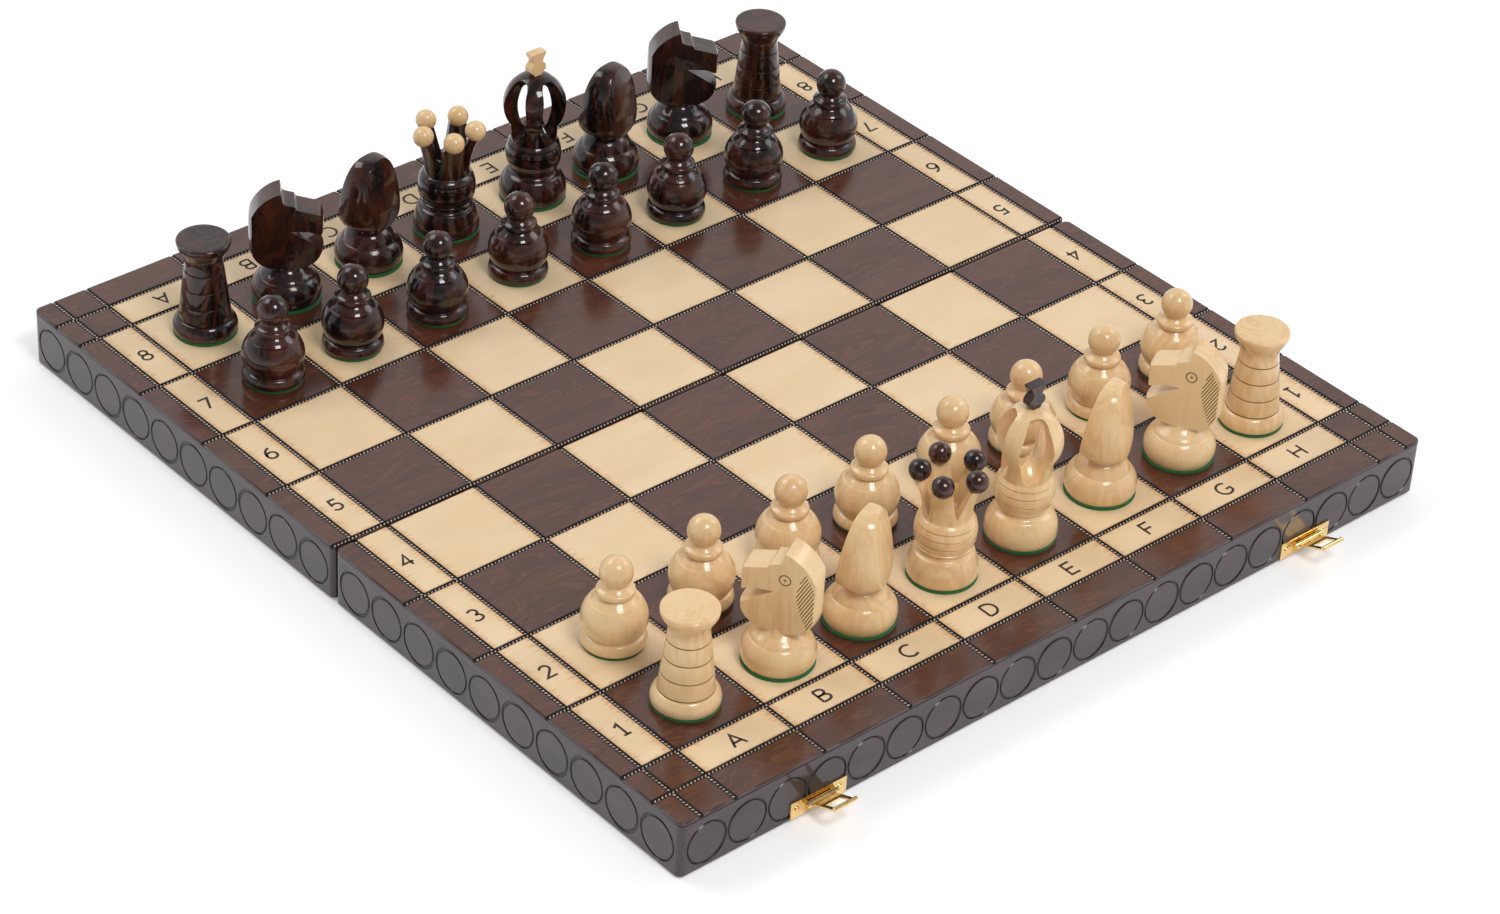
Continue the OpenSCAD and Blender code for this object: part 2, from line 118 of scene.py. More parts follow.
class Shader:
    """A short way to write a node tree: each call adds a node and returns its main output."""

    def __init__(self, name, world=False):
        self.owner = (bpy.data.worlds if world else bpy.data.materials).new(name)
        self.owner.use_nodes = True
        self.tree = self.owner.node_tree
        self.tree.nodes.clear()
        self.out = self.node("ShaderNodeOutputWorld" if world else "ShaderNodeOutputMaterial")

    def node(self, kind, **settings):
        made = self.tree.nodes.new(kind)
        for key, value in settings.items():
            setattr(made, key, value)
        return made

    def plug(self, socket, value):
        if isinstance(value, bpy.types.NodeSocket):
            self.tree.links.new(value, socket)
        else:
            socket.default_value = value

    def wire(self, kind, output, inputs, **settings):
        """A node with its inputs plugged, as one of its outputs."""
        made = self.node(kind, **settings)
        for key, value in inputs.items():
            self.plug(made.inputs[key], value)
        return made.outputs[output]

    def math(self, operation, *values):
        return self.wire("ShaderNodeMath", 0, dict(enumerate(values)), operation=operation)

    def times(self, a, b):
        return self.math("MULTIPLY", a, b)

    def place(self, scale, seed=True, steps=(0.37, 0.91, 0.53)):
        """Object coordinates in millimetres times scale, shifted by a seed to another part of the grain.

        The seed is each piece's own number, unless it is given or is False for no shift."""
        coord = self.node("ShaderNodeTexCoord").outputs["Object"]
        if seed is True:
            seed = self.node("ShaderNodeObjectInfo").outputs["Random"]
        if seed is not False:
            shifts = {i: self.times(seed, step) for i, step in enumerate(steps)}
            shift = self.wire("ShaderNodeCombineXYZ", 0, shifts)
            coord = self.wire("ShaderNodeVectorMath", 0, {0: coord, 1: shift}, operation="ADD")
        return self.wire("ShaderNodeMapping", 0, {"Vector": coord, "Scale": [k / MM for k in scale]})

    def noise(self, scale, detail=4.0, rough=0.55, distortion=0.0, **shift):
        """Noise in the places that place gives."""
        return self.wire("ShaderNodeTexNoise", "Fac", {
            "Vector": self.place(scale, **shift), "Scale": 1.0,
            "Detail": detail, "Roughness": rough, "Distortion": distortion,
        })

    def ramp(self, fac, low, high):
        """0 at low, 1 at high, eased between."""
        inputs = {"Value": fac, "From Min": low, "From Max": high}
        return self.wire("ShaderNodeMapRange", "Result", inputs, interpolation_type="SMOOTHSTEP")

    def mix(self, fac, a, b):
        inputs = {"Factor": fac, "A": rgba(a), "B": rgba(b)}
        return self.wire("ShaderNodeMix", "Result", inputs, data_type="RGBA")

    def bump(self, height, distance, strength=1.0):
        """Bump whose distance is in millimetres."""
        inputs = {"Height": height, "Distance": distance * MM, "Strength": strength}
        return self.wire("ShaderNodeBump", "Normal", inputs)

    def surface(self, **inputs):
        bsdf = self.node("ShaderNodeBsdfPrincipled")
        for key, value in inputs.items():
            socket = bsdf.inputs[key.replace("_", " ")]
            self.plug(socket, rgba(value) if key.endswith("Color") else value)
        self.tree.links.new(bsdf.outputs[0], self.out.inputs["Surface"])
        return self.owner


def rgba(value):
    return (*value, 1.0) if isinstance(value, tuple) and len(value) == 3 else value


# ---------- mesh helpers ----------

def link(obj):
    bpy.context.scene.collection.objects.link(obj)
    return obj


def mesh_object(name, verts, faces, materials=(), slots=None, sharp=32.0):
    """An object from points in millimetres, shaded smooth with edges above sharp degrees kept crisp."""
    mesh = bpy.data.meshes.new(name)
    mesh.from_pydata((np.asarray(verts, float) * MM).tolist(), [], [list(f) for f in faces])
    for m in materials or (None, None):
        mesh.materials.append(m)
    if slots is not None:
        mesh.polygons.foreach_set("material_index", slots)
    finish_mesh(mesh, sharp)
    return link(bpy.data.objects.new(name, mesh))


def finish_mesh(mesh, sharp=32.0):
    mesh.update()
    mesh.shade_smooth()
    mesh.set_sharp_from_angle(angle=math.radians(sharp))


def rounded(points, steps=4, closed=False):
    """An outline of (a, b, ease) corners, each rounded by a curve that starts and ends ease away from it."""
    points = [np.array([*p, 0.0][:3], float) for p in points]
    out = []
    for i, p in enumerate(points):
        at_end = not closed and i in (0, len(points) - 1)
        if p[2] == 0 or at_end:
            out.append(p[:2])
            continue
        ends = []
        for q in (points[i - 1], points[(i + 1) % len(points)]):
            v = q[:2] - p[:2]
            length = np.linalg.norm(v)
            ends.append(p[:2] + v / length * min(p[2], 0.49 * length))
        for k in range(steps + 1):
            t = k / steps
            out.append((1 - t) ** 2 * ends[0] + 2 * t * (1 - t) * p[:2] + t * t * ends[1])
    return [tuple(p) for p in out]


def oval(centre, rx, ry, start, end, n=12):
    """Points on an oval between two angles in degrees."""
    angles = np.radians(np.linspace(start, end, n + 1))
    return [(centre[0] + rx * math.cos(a), centre[1] + ry * math.sin(a)) for a in angles]


def lathe(profile, n=72):
    """Vertices and faces of a profile of (radius, height) turned about the vertical axis."""
    angles = np.linspace(0, 2 * math.pi, n, endpoint=False)
    verts, rings, faces = [], [], []
    for r, z in profile:
        if r < 1e-6:
            rings.append([len(verts)] * n)
            verts.append((0, 0, z))
        else:
            rings.append(list(range(len(verts), len(verts) + n)))
            verts += [(r * math.cos(a), r * math.sin(a), z) for a in angles]
    for low, high in zip(rings, rings[1:]):
        for j in range(n):
            k = (j + 1) % n
            # at the axis two corners are one
            faces.append(list(dict.fromkeys([low[j], low[k], high[k], high[j]])))
    return verts, [f for f in faces if len(f) > 2]


def turned(name, profile, n=72, dark=()):
    """A turned solid; faces whose middles lie in a (low, high) band of dark take the second material."""
    obj = mesh_object(name, *lathe(profile, n))
    for face in obj.data.polygons:
        z = face.center.z / MM
        if any(low < z < high for low, high in dark):
            face.material_index = 1
    return obj


def slab(name, outline, thickness):
    """An outline of (u, height) points extruded to a thickness across Y, centred."""
    n, half = len(outline), thickness / 2
    verts = [(u, -half, h) for u, h in outline] + [(u, half, h) for u, h in outline]
    faces = [list(range(n)), list(range(2 * n - 1, n - 1, -1))]
    faces += [[i, i + n, (i + 1) % n + n, (i + 1) % n] for i in range(n)]
    return tidy_normals(mesh_object(name, verts, faces))


def tidy_normals(obj):
    bm = bmesh.new()
    bm.from_mesh(obj.data)
    bmesh.ops.remove_doubles(bm, verts=bm.verts, dist=1e-7)
    bmesh.ops.recalc_face_normals(bm, faces=bm.faces)
    bm.to_mesh(obj.data)
    bm.free()
    return obj


def baked(obj):
    """A new mesh of obj with its modifiers applied."""
    return bpy.data.meshes.new_from_object(obj.evaluated_get(bpy.context.evaluated_depsgraph_get()))


def boolean(obj, other, operation="DIFFERENCE"):
    """Applies other to obj at once and removes it."""
    mod = obj.modifiers.new("cut", "BOOLEAN")
    mod.operation, mod.solver, mod.object = operation, "EXACT", other
    made = baked(obj)
    obj.modifiers.clear()
    old, obj.data = obj.data, made
    bpy.data.meshes.remove(old)
    mesh = other.data
    bpy.data.objects.remove(other)
    bpy.data.meshes.remove(mesh)
    return obj


def joined(objects):
    """One object of several, which may overlap."""
    bm = bmesh.new()
    for o in objects:
        bm.from_mesh(o.data)
    keep = objects[0]
    bm.to_mesh(keep.data)
    bm.free()
    for o in objects[1:]:
        bpy.data.objects.remove(o)
    return keep


def moved(obj, offset=(0, 0, 0), turns=()):
    """Turns obj's own mesh by (axis, degrees) in order and then shifts it by offset millimetres."""
    m = Matrix.Identity(4)
    for axis, degrees in turns:
        m = Matrix.Rotation(math.radians(degrees), 4, axis) @ m
    obj.data.transform(Matrix.Translation(Vector(offset) * MM) @ m)
    return obj


def ease_edges(obj, width, segments=2, angle=32):
    """Rounds the crisp edges of obj by width millimetres."""
    mod = obj.modifiers.new("ease", "BEVEL")
    mod.width = width * MM
    mod.segments = segments
    mod.limit_method = "ANGLE"
    mod.angle_limit = math.radians(angle)
    return obj


# ---------- chess pieces ----------

BISHOP_NECK = [(11.4, 15.2, 1.2), (10.1, 17.5, 1.6), (8.4, 19.1), (8.1, 20.3)]
KNIGHT_NECK = [(11.2, 14.5, 0.8), (8.5, 16.4, 1.2), (6.9, 18, 0.8), (6.6, 19.6)]


def domed_foot(neck):
    """The rounded foot and shoulder under knights and bishops, up to a neck."""
    foot = [(0, FELT_T)] + rounded([(0, FELT_T), (15, FELT_T), (15.25, 2, 0.2), (15.5, 2.6)])[1:]
    foot += oval((5, 5.6), 11, 10.1, -14, 45, 22)
    foot += rounded([(12.55, 12.95), (12.2, 13.05, 0.15), (12, 13.5, 0.3)] + neck)
    return foot + [(0, neck[-1][1])]


def pawn_mesh():
    outline = rounded([
        (0, FELT_T), (13.75, FELT_T, 0.3), (14.1, 2.4, 0.6),
        (13.9, 4.2, 1), (13.1, 5.9, 0.6), (11.9, 6.55, 0.1),
        (12.3, 7.2),
    ])[:-1]
    outline += oval((0, 13.6), 14.1, 13, -31, 38, 16)
    outline += rounded([
        (10.9, 21.6), (9.9, 21.75, 0.1), (9.2, 22.5, 0.5), (7.2, 24.2, 0.5),
        (6.4, 25.2, 0.1), (8.25, 25.7, 0.5),
        (8.25, 27.8, 0.8), (6.7, 28.5, 0.2), (6.2, 28.9, 0.2), (5.2, 29.9, 0.3), (5.1, 30.5),
    ])[1:]
    outline += oval((0, 35.6), 7.1, 7.1, -44, 90, 18)
    return turned("pawn", outline)


def rook_mesh():
    def side(z):
        return 11.9 - (z - 9.2) * 3.3 / 28.3

    rings = (8.6, 16.6, 24.9, 33.1)
    body = [(0, FELT_T), (14.3, FELT_T, 0.4), (14.8, 3, 1)]
    body += [(14.6, 5.2, 1.6), (13.3, 7.4, 1), (12.4, 8.2, 0.4)]
    for z in rings:
        r = side(max(z, 9.2))
        body += [(r + 0.05, z - 0.28, 0.1), (r - 0.5, z, 0.1), (r, z + 0.28, 0.1)]
    body += [(8.6, 37.2, 2), (9.1, 40.6, 2.5), (12.1, 45.2, 1.2), (12.35, 47.6, 0.5), (11.9, 48.2, 0.4)]
    body += [(10.6, 48.35, 0.2), (0, 48.1)]
    return turned("rook", rounded(body), dark=[(z - 0.27, z + 0.27) for z in rings])


FLAT_Z = 30


def bishop_mesh(girth=(15.05, 30.1), tip=25.7, fullness=0.68, flats=((0, 9.5, 9.8), (168, 5.4, 7.6))):
    """A turned egg between two sawn flats, each (turn, distance from the axis at FLAT_Z, lean)."""
    outline = [(0, 19.6), (6.6, 19.6)] + rounded([(6.6, 19.6), (10.3, 21.3, 0.8), (12.5, 23.2)])[1:-1]
    outline += oval((11.8, girth[1]), girth[0] - 11.8, 7.1, -70, 0, 10)
    outline += [
        (girth[0] * math.cos(a) ** fullness, girth[1] + tip * math.sin(a))
        for a in np.linspace(0, math.pi / 2, 34)[1:-1]
    ] + [(0, girth[1] + tip)]
    head = turned("bishop_head", outline, 128)
    for turn, distance, lean in flats:
        a, b = math.radians(turn), math.radians(lean)
        away = Vector((math.cos(a), math.sin(a), 0))
        normal = away * math.cos(b) + Vector((0, 0, math.sin(b)))
        point = (away * distance + Vector((0, 0, FLAT_Z))) * MM
        bm = bmesh.new()
        bm.from_mesh(head.data)
        cut = bmesh.ops.bisect_plane(
            bm, geom=bm.verts[:] + bm.edges[:] + bm.faces[:],
            plane_co=point, plane_no=normal, clear_outer=True,
        )
        edges = [e for e in cut["geom_cut"] if isinstance(e, bmesh.types.BMEdge)]
        bmesh.ops.contextual_create(bm, geom=edges)
        bm.to_mesh(head.data)
        bm.free()
    finish_mesh(head.data, 24)
    ease_edges(head, 0.45, 3, 24)
    head.data = baked(head)
    head.modifiers.clear()
    foot = turned("bishop", domed_foot(BISHOP_NECK))
    boolean(foot, tidy_normals(head), "UNION")
    finish_mesh(foot.data)
    return foot


def knight_mesh(thickness=13, reach=16.8):
    """A slab with a horse's outline, its edges following a turned body, on a domed foot."""
    side = rounded([
        (-6.5, 18.9), (-9.4, 18.9, 0.8), (-14.6, 22, 2), (-17.5, 26, 2), (-17.5, 33, 3),
        (-17.5, 42, 3), (-15.2, 47.6, 3), (-12.7, 51.6, 2.5), (-9.3, 54.9, 2), (-5.6, 57.2, 1.5),
        (-2.3, 58.3, 0.25), (-1.3, 53.2, 0.8), (0.6, 52.4, 0.3), (4, 51.5, 0.4), (4.8, 49.8, 0.4),
        (15.6, 46.8, 1.2), (17.5, 44, 0.5), (17.5, 37.2, 0.3), (15.2, 36.2, 0.8), (11, 38.2, 2),
        (1.8, 38.6, 0.4), (15.9, 29.2, 0.8), (17.4, 28.6, 0.2), (17.4, 26.4, 0.6), (14.6, 22.4, 2.5),
        (9.4, 18.9, 0.8), (6.5, 18.9),
    ], closed=True)
    head = slab("knight_head", side, thickness)
    body = turned("body", rounded([
        (0, 17), (6.4, 18.4, 0.5), (10.8, 19.5, 1), (14.2, 21.9, 2),
        (reach - 0.5, 25.3, 1.2), (reach, 28, 1), (reach, 60), (0, 60),
    ]), 96)
    boolean(head, body, "INTERSECT")
    for face in (-1, 1):
        boolean(head, mane_cuts(face * thickness / 2))
        boolean(head, eye_cuts(face * thickness / 2))
    foot = turned("knight", domed_foot(KNIGHT_NECK))
    boolean(foot, head, "UNION")
    finish_mesh(foot.data, 28)
    return foot


def mane_cuts(y, pitch=1.15, width=0.85, depth=0.42, lean=118):
    """A crescent of slanting V cuts behind the face, as one cutter."""
    verts, faces = [], []
    along = Vector((math.cos(math.radians(lean)), 0, math.sin(math.radians(lean))))
    across = Vector((-along.z, 0, along.x))
    out = Vector((0, math.copysign(depth, y), 0))
    for t in np.arange(-14.5, 6, pitch):
        start = across * t
        low, high = mane_span(start, along)
        if high - low < 1.5:
            continue
        a, b = start + along * low, start + along * high
        for p, w in ((a, 0.1), (a.lerp(b, 0.08), 1), (a.lerp(b, 0.92), 1), (b, 0.1)):
            p = Vector((p.x, y, p.z))
            verts += [p - out * w, p + across * (w * width / 2) + out, p - across * (w * width / 2) + out]
        base = len(verts) - 12
        for s in range(3):
            i, j = base + 3 * s, base + 3 * s + 3
            faces += [[i + e, i + (e + 1) % 3, j + (e + 1) % 3, j + e] for e in range(3)]
        faces += [[base, base + 2, base + 1], [base + 9, base + 10, base + 11]]
    return second_material(tidy_normals(mesh_object("mane", [tuple(v) for v in verts], faces)))


def second_material(obj):
    """Cuts made with obj take the second material."""
    for face in obj.data.polygons:
        face.material_index = 1
    return obj


def mane_span(start, along, neck_x=-16, bend_z=44, front_x=-7.6, middle_z=38.5, z_range=(21, 53.5)):
    """How far along a cut the crescent of the mane reaches: inside the neck's back and outside an arc."""
    inside = []
    for d in np.linspace(10, 65, 221):
        p = start + along * d
        back = neck_x + max(0, p.z - bend_z) * 0.62
        front = front_x - 7.6 * (abs(p.z - middle_z) / 19.5) ** 1.6
        if back < p.x < front and z_range[0] < p.z < z_range[1]:
            inside.append(d)
    return (inside[0], inside[-1]) if inside else (0, 0)


def eye_cuts(y):
    """A ring and a dot, as one cutter for a face at y."""
    parts = []
    ring_r, ring_size, dot_r = 2.4, 0.3, 0.6
    for section, n in (
        (oval((ring_r, 0), ring_size, ring_size, 0, 360, 8), 40),
        ([(0, -dot_r), (dot_r, 0), (0, dot_r)], 16),
    ):
        parts.append(mesh_object("eye", *lathe(section, n)))
    return second_material(tidy_normals(moved(joined(parts), (-2.8, y, 45.5), [("X", 90)])))


def collar(z0, z1, r_mid, rings, groove=0.55, bulge=1.5):
    """Points of a barrel-shaped collar with turned grooves."""
    mid, half = (z0 + z1) / 2, (z1 - z0) / 2

    def barrel(z):
        return r_mid - bulge * abs((z - mid) / half) ** 2.2

    out = [(z, barrel(z)) for z in np.linspace(z0, z1, 15)]
    for ring in rings:
        r = barrel(ring)
        out = [p for p in out if abs(p[0] - ring) > 0.5]
        out += [(ring - 0.32, r), (ring - 0.1, r - groove), (ring + 0.1, r - groove), (ring + 0.32, r)]
    return [(r, z) for z, r in sorted(out)]


QUEEN_RINGS, KING_RINGS = (20.8, 24.9, 28.4), (22, 26.3, 29.6)


def queen_mesh(tip=49.6, cut_from=34.5, cut_half=4.2, wedge_y=20.5):
    outline = rounded([
        (0, FELT_T), (15, FELT_T, 0.4), (15.6, 3, 1), (15.2, 7.4, 3), (13.9, 11.4, 2),
        (13.1, 13.2, 0.3), (12, 13.7, 0.3), (11.3, 14.6, 0.6), (11.3, 15.6, 0.4), (12.4, 16.9),
    ])
    outline += collar(17.2, 30.2, 13.5, QUEEN_RINGS)
    outline += rounded([
        (11.6, 30.7), (10.4, 31.3, 0.5), (10.9, 37, 3), (12.6, 44, 4), (14.4, tip, 0.3),
        (11.4, tip, 0.3), (8.4, 40.5, 4), (5, 33.2, 2), (0, 32.2),
    ])[1:]
    queen = turned("queen", outline, dark=[(z - 0.12, z + 0.12) for z in QUEEN_RINGS])
    for i in range(5):
        wedge = [(-0.5, cut_from), (0.5, cut_from), (cut_half, tip + 1), (-cut_half, tip + 1)]
        notch = moved(slab("notch", wedge, 40), (0, wedge_y, 0))
        boolean(queen, moved(notch, turns=[("Z", (i + 0.5) * 72 - 90)]))
    finish_mesh(queen.data)
    return queen


def ball_ring_mesh(radius=4.9, ring_r=12.9, height=53):
    balls = []
    for x, y in oval((0, 0), ring_r, ring_r, 0, 288, 4):
        ball = turned("ball", oval((0, 0), radius, radius, -90, 90, 24), 40)
        balls.append(moved(ball, (x, y, height)))
    return joined(balls)


def king_mesh(centre=16.3, height=49):
    outline = rounded([
        (0, FELT_T), (15.4, FELT_T, 0.4), (16, 3.2, 1.2), (15.8, 7.5, 2.5), (14.6, 11, 2.5),
        (12.8, 13.6, 0.6), (11.2, 14.4, 0.5), (10.4, 15.5, 0.5), (10.6, 16.6, 0.3), (11.7, 17.4),
    ])
    outline += collar(17.8, 30.6, 13.1, KING_RINGS)
    outline += rounded([(11.3, 31.2), (10.6, 31.8, 0.4), (10.9, 33)])[1:]
    outline += oval((0, 50.5), 14.8, 16, -40, 84, 22)
    outline += [(0, 66.5)]
    king = turned("king", outline, 96, [(z - 0.12, z + 0.12) for z in KING_RINGS])
    section = rounded([
        (0, -8.6), (15.8, -4.1, 1.2), (17.4, -3, 0.6), (18, -1.2, 0.6),
        (18, 1.2, 0.6), (17.4, 3, 0.6), (15.8, 4.1, 1.2), (0, 8.6),
    ])
    for i in range(4):
        cutter = moved(turned("cutter", section, 96), (centre, 0, height), [("X", 90)])
        boolean(king, moved(cutter, turns=[("Z", 90 * i)]))
    finish_mesh(king.data)
    return king


def finial_mesh(thickness=4.6):
    half = [
        (1.9, 65.6, 0), (2.4, 67.3, 0.6), (4.4, 68.6, 0.4), (4.4, 71.2, 0.5),
        (2.3, 73.2, 0.7), (4.5, 77.4, 0.3), (4.4, 78, 0.2),
    ]
    outline = rounded(half + [(-u, h, e) for u, h, e in reversed(half)], closed=True)
    return ease_edges(slab("finial", outline, thickness), 0.3)


def felt_mesh(radius):
    low, high = 0.02, FELT_T - 0.02
    return turned("felt", rounded([
        (0, low), (radius - 0.2, low, 0.1), (radius, 0.5, 0.3),
        (radius - 0.1, FELT_T - 0.15, 0.2), (radius - 0.5, high), (0, high),
    ]))


MAKERS = {
    "pawn": pawn_mesh, "rook": rook_mesh, "bishop": bishop_mesh, "knight": knight_mesh,
    "queen": queen_mesh, "king": king_mesh,
}
FELT_R = {"pawn": 13.4, "rook": 14.58, "bishop": 15.78, "knight": 15.78, "queen": 15.48, "king": 15.78}


def square_place(file, rank):
    row = FOLD_ZONE + abs(rank - 3.5) * SQUARE
    dx, dy = NUDGE[rank][file]
    return Vector(((file - 3.5) * SQUARE + dx, (row if rank > 3.5 else -row) + dy, BOARD_H)) * MM


def stand(mesh, name, place, turn, body, materials, nodes=(), slot=None):
    """A copy of a piece's mesh on its square, riding on its body."""
    data = mesh.copy()
    picked = [0] * len(data.polygons)
    data.polygons.foreach_get("material_index", picked)
    data.materials.clear()
    for m in materials[:1 + max(picked)]:
        data.materials.append(m)
    data.polygons.foreach_set("material_index", picked)
    obj = link(bpy.data.objects.new(name, data))
    obj.location = place
    obj.rotation_euler.z = math.radians(turn)
    bpy.context.view_layer.update()
    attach(obj, body)
    if nodes:
        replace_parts(obj, *nodes)


def take_mesh(obj):
    """Removes obj and keeps its finished mesh, modifiers applied."""
    mesh = baked(obj)
    bpy.data.objects.remove(obj)
    return mesh


def set_out(wood):
    """All 32 pieces on their squares."""
    meshes = {kind: take_mesh(make()) for kind, make in MAKERS.items()}
    felts = {kind: take_mesh(felt_mesh(r)) for kind, r in FELT_R.items()}
    balls, finial = take_mesh(ball_ring_mesh()), take_mesh(finial_mesh())
    for colour, home, pawns, own_slot, other_slot in (
        ("white", 0, 1, "light_wood", "dark_wood"),
        ("black", 7, 6, "dark_wood", "light_wood"),
    ):
        own, other = wood[own_slot], wood[other_slot]
        for i, letter in enumerate(FILES):
            for kind, rank in ((BACK_ROW[i], home), ("pawn", pawns)):
                single = kind in ("queen", "king")
                node = f"{colour}_{kind}" if single else f"{colour}_{kind}_{letter}"
                body, place = node + "_piece", square_place(i, rank)
                # round pieces get a turn of their own too, so that no two show the same grain
                turn = TURN[colour].get(kind, (i * 47 + rank * 31) % 360)
                stand(meshes[kind], "wood_" + node, place, turn, body, own, [node], own_slot)
                stand(felts[kind], "felt_" + node, place, turn, body, [wood["felt"]], slot="felt")
                if kind == "queen":
                    crown = [f"{colour}_queen_balls"]
                    stand(balls, "balls_" + node, place, turn, body, other, crown, other_slot)
                if kind == "king":
                    crown = [f"{colour}_king_finial"]
                    stand(finial, "finial_" + node, place, 0, body, other, crown, other_slot)


# ---------- the board's halves ----------

def groove_lines(side):
    """Places of the pressed lines across X and, measured from the fold, across Y."""
    xs = [0.0] + [s * SQUARE * i for i in range(1, 5) for s in (-1, 1)]
    xs += [s * (4 * SQUARE + STRIP_X) for s in (-1, 1)]
    ys = [FOLD_ZONE + SQUARE * i for i in range(1, 5)] + [FOLD_ZONE + 4 * SQUARE + STRIP_Y]
    if side == REAR:
        ys.append(FOLD_ROPE_Y)
    return sorted(xs), sorted(ys)


EDGE_R = 0.5
SCORE_Z = 25.55
LOWEST_FACE = BOARD_H - 1.05
# for faces off the playing side, which lie far from every side of their cell
NO_CELL = (0, 0, 500, 500)
EDGE_STOPS = (0.0, 0.08, 0.25, 0.5, 1.1, 2.0, CORNER_R)
GROOVE_STOPS = (-1.1, -0.78, -0.4, 0.4, 0.78, 1.1)


def drop(at, lines, lo, hi):
    """How far the playing face lies below its top at one coordinate."""
    groove = 0.0
    for line in lines:
        d = abs(at - line) / (GROOVE_W / 2)
        if d < 1:
            groove = max(groove, GROOVE_D * min(1.0, (1 - d) / 0.45) ** 0.7)
    d = min(at - lo, hi - at, EDGE_R)
    return groove + EDGE_R - math.sqrt(max(0.0, EDGE_R ** 2 - (EDGE_R - d) ** 2))


def corner_shift(x, y, y_lo, y_hi):
    """Moves points of the square corner zones of a half into its rounded corners."""
    cx = HALF_X - CORNER_R
    far = y > (y_lo + y_hi) / 2
    cy = y_hi - CORNER_R if far else y_lo + CORNER_R
    u, v = abs(x) - cx, (y - cy) * (1 if far else -1)
    if u <= 1e-6 or v <= 1e-6:
        return x, y
    reach, angle = max(u, v), math.atan2(v, u)
    return (
        math.copysign(cx + reach * math.cos(angle), x),
        cy + math.copysign(reach * math.sin(angle), y - cy),
    )


def panel_piece(side, name, materials):
    """A half's panel: squares, strips and border in relief, each its own cell for the wood grain.

    Slots: light squares, dark squares, grooves, stained edge, plain underside."""
    xl, yl = groove_lines(side)
    xs = [s * (HALF_X - d) for d in EDGE_STOPS for s in (-1, 1)] + [x + g for x in xl for g in GROOVE_STOPS]
    ys = [HALF_Y - d for d in EDGE_STOPS] + [FOLD_Y + d for d in EDGE_STOPS if d not in (0.08, 1.1)]
    ys += [y + g for y in yl for g in GROOVE_STOPS if y + g > FOLD_Y + 0.1]
    xs = sorted({round(x, 3) for x in xs})
    ys = sorted({round(y, 3) for y in ys})
    nx, ny = len(xs), len(ys)
    verts, faces, slots, cells = [], [], [], []
    for y in ys:
        for x in xs:
            z = BOARD_H - drop(x, xl, -HALF_X, HALF_X) - drop(y, yl, FOLD_Y, HALF_Y)
            px, py = corner_shift(x, y, FOLD_Y, HALF_Y)
            verts.append((px, side * py, max(z, LOWEST_FACE)))
    random = np.random.default_rng(11 + side)
    seeds = random.random((len(yl) + 2, len(xl) + 2))
    flip = 1 if side == REAR else -1

    def cells_along(stops, lines, lo, hi):
        """Between each two stops: the cell's number, middle and half size, and if they lie in a groove."""
        for at in [(a + b) / 2 for a, b in zip(stops, stops[1:])]:
            i = sum(line < at for line in lines)
            a = lines[i - 1] + GROOVE_W / 2 if i else lo
            b = lines[i] - GROOVE_W / 2 if i < len(lines) else hi
            yield i, (a + b) / 2, (b - a) / 2, any(abs(at - line) < GROOVE_W / 2 for line in lines)

    columns = list(cells_along(xs, xl, -HALF_X, HALF_X))
    for j, (row, y_mid, y_half, in_y) in enumerate(cells_along(ys, yl, FOLD_Y, HALF_Y)):
        for i, (col, x_mid, x_half, in_x) in enumerate(columns):
            a = j * nx + i
            faces.append([a, a + 1, a + nx + 1, a + nx][::flip])
            slots.append(2 if in_x or in_y else cell_slot(col, row, side))
            cells.append((x_mid, side * y_mid, x_half, y_half, seeds[row, col]))
    loop = list(range(nx)) + [j * nx + nx - 1 for j in range(1, ny)]
    loop += [(ny - 1) * nx + i for i in range(nx - 2, -1, -1)] + [j * nx for j in range(ny - 2, 0, -1)]
    centre = np.array([0, side * (HALF_Y + FOLD_Y) / 2])
    ring = loop
    # down the edge, with a fine scored line under the veneer
    score = [(SCORE_Z + rise, inset) for rise, inset in ((0.25, 0), (0.1, 0.3), (-0.1, 0.3), (-0.25, 0))]
    for z, inset in score + [(RAIL_H, 0)]:
        base = len(verts)
        for v in loop:
            p = np.array(verts[v][:2])
            near = np.abs(np.array([HALF_X, (HALF_Y - FOLD_Y) / 2]) - np.abs(p - centre))
            away = np.sign(p - centre) * (near < CORNER_R)
            verts.append((*(p - away * inset), z))
        new = list(range(base, base + len(loop)))
        for k in range(len(loop)):
            m = (k + 1) % len(loop)
            faces.append([ring[k], new[k], new[m], ring[m]][::flip])
            slots.append(2 if inset else 3)
            cells.append((*NO_CELL, 0.5))
        ring = new
    faces.append(ring[::-flip])
    slots.append(4)
    cells.append((*NO_CELL, 0.3))
    obj = mesh_object(name, verts, faces, materials, slots, 40)
    store_cells(obj.data, cells)
    return obj


def cell_slot(col, row, side):
    """0 for a light cell and 1 for a dark one, from its column and its row from the fold."""
    if side == REAR:
        row -= 1
    row = max(row, 0)
    file = col - 2
    rank = 4 + row if side == REAR else 3 - row
    on_board = 0 <= file < 8, row < 4
    if all(on_board):
        return 0 if (file + rank) % 2 else 1
    letters = on_board[0] and row == 4
    digits = on_board[1] and col in (1, 10)
    return 0 if letters or digits else 1


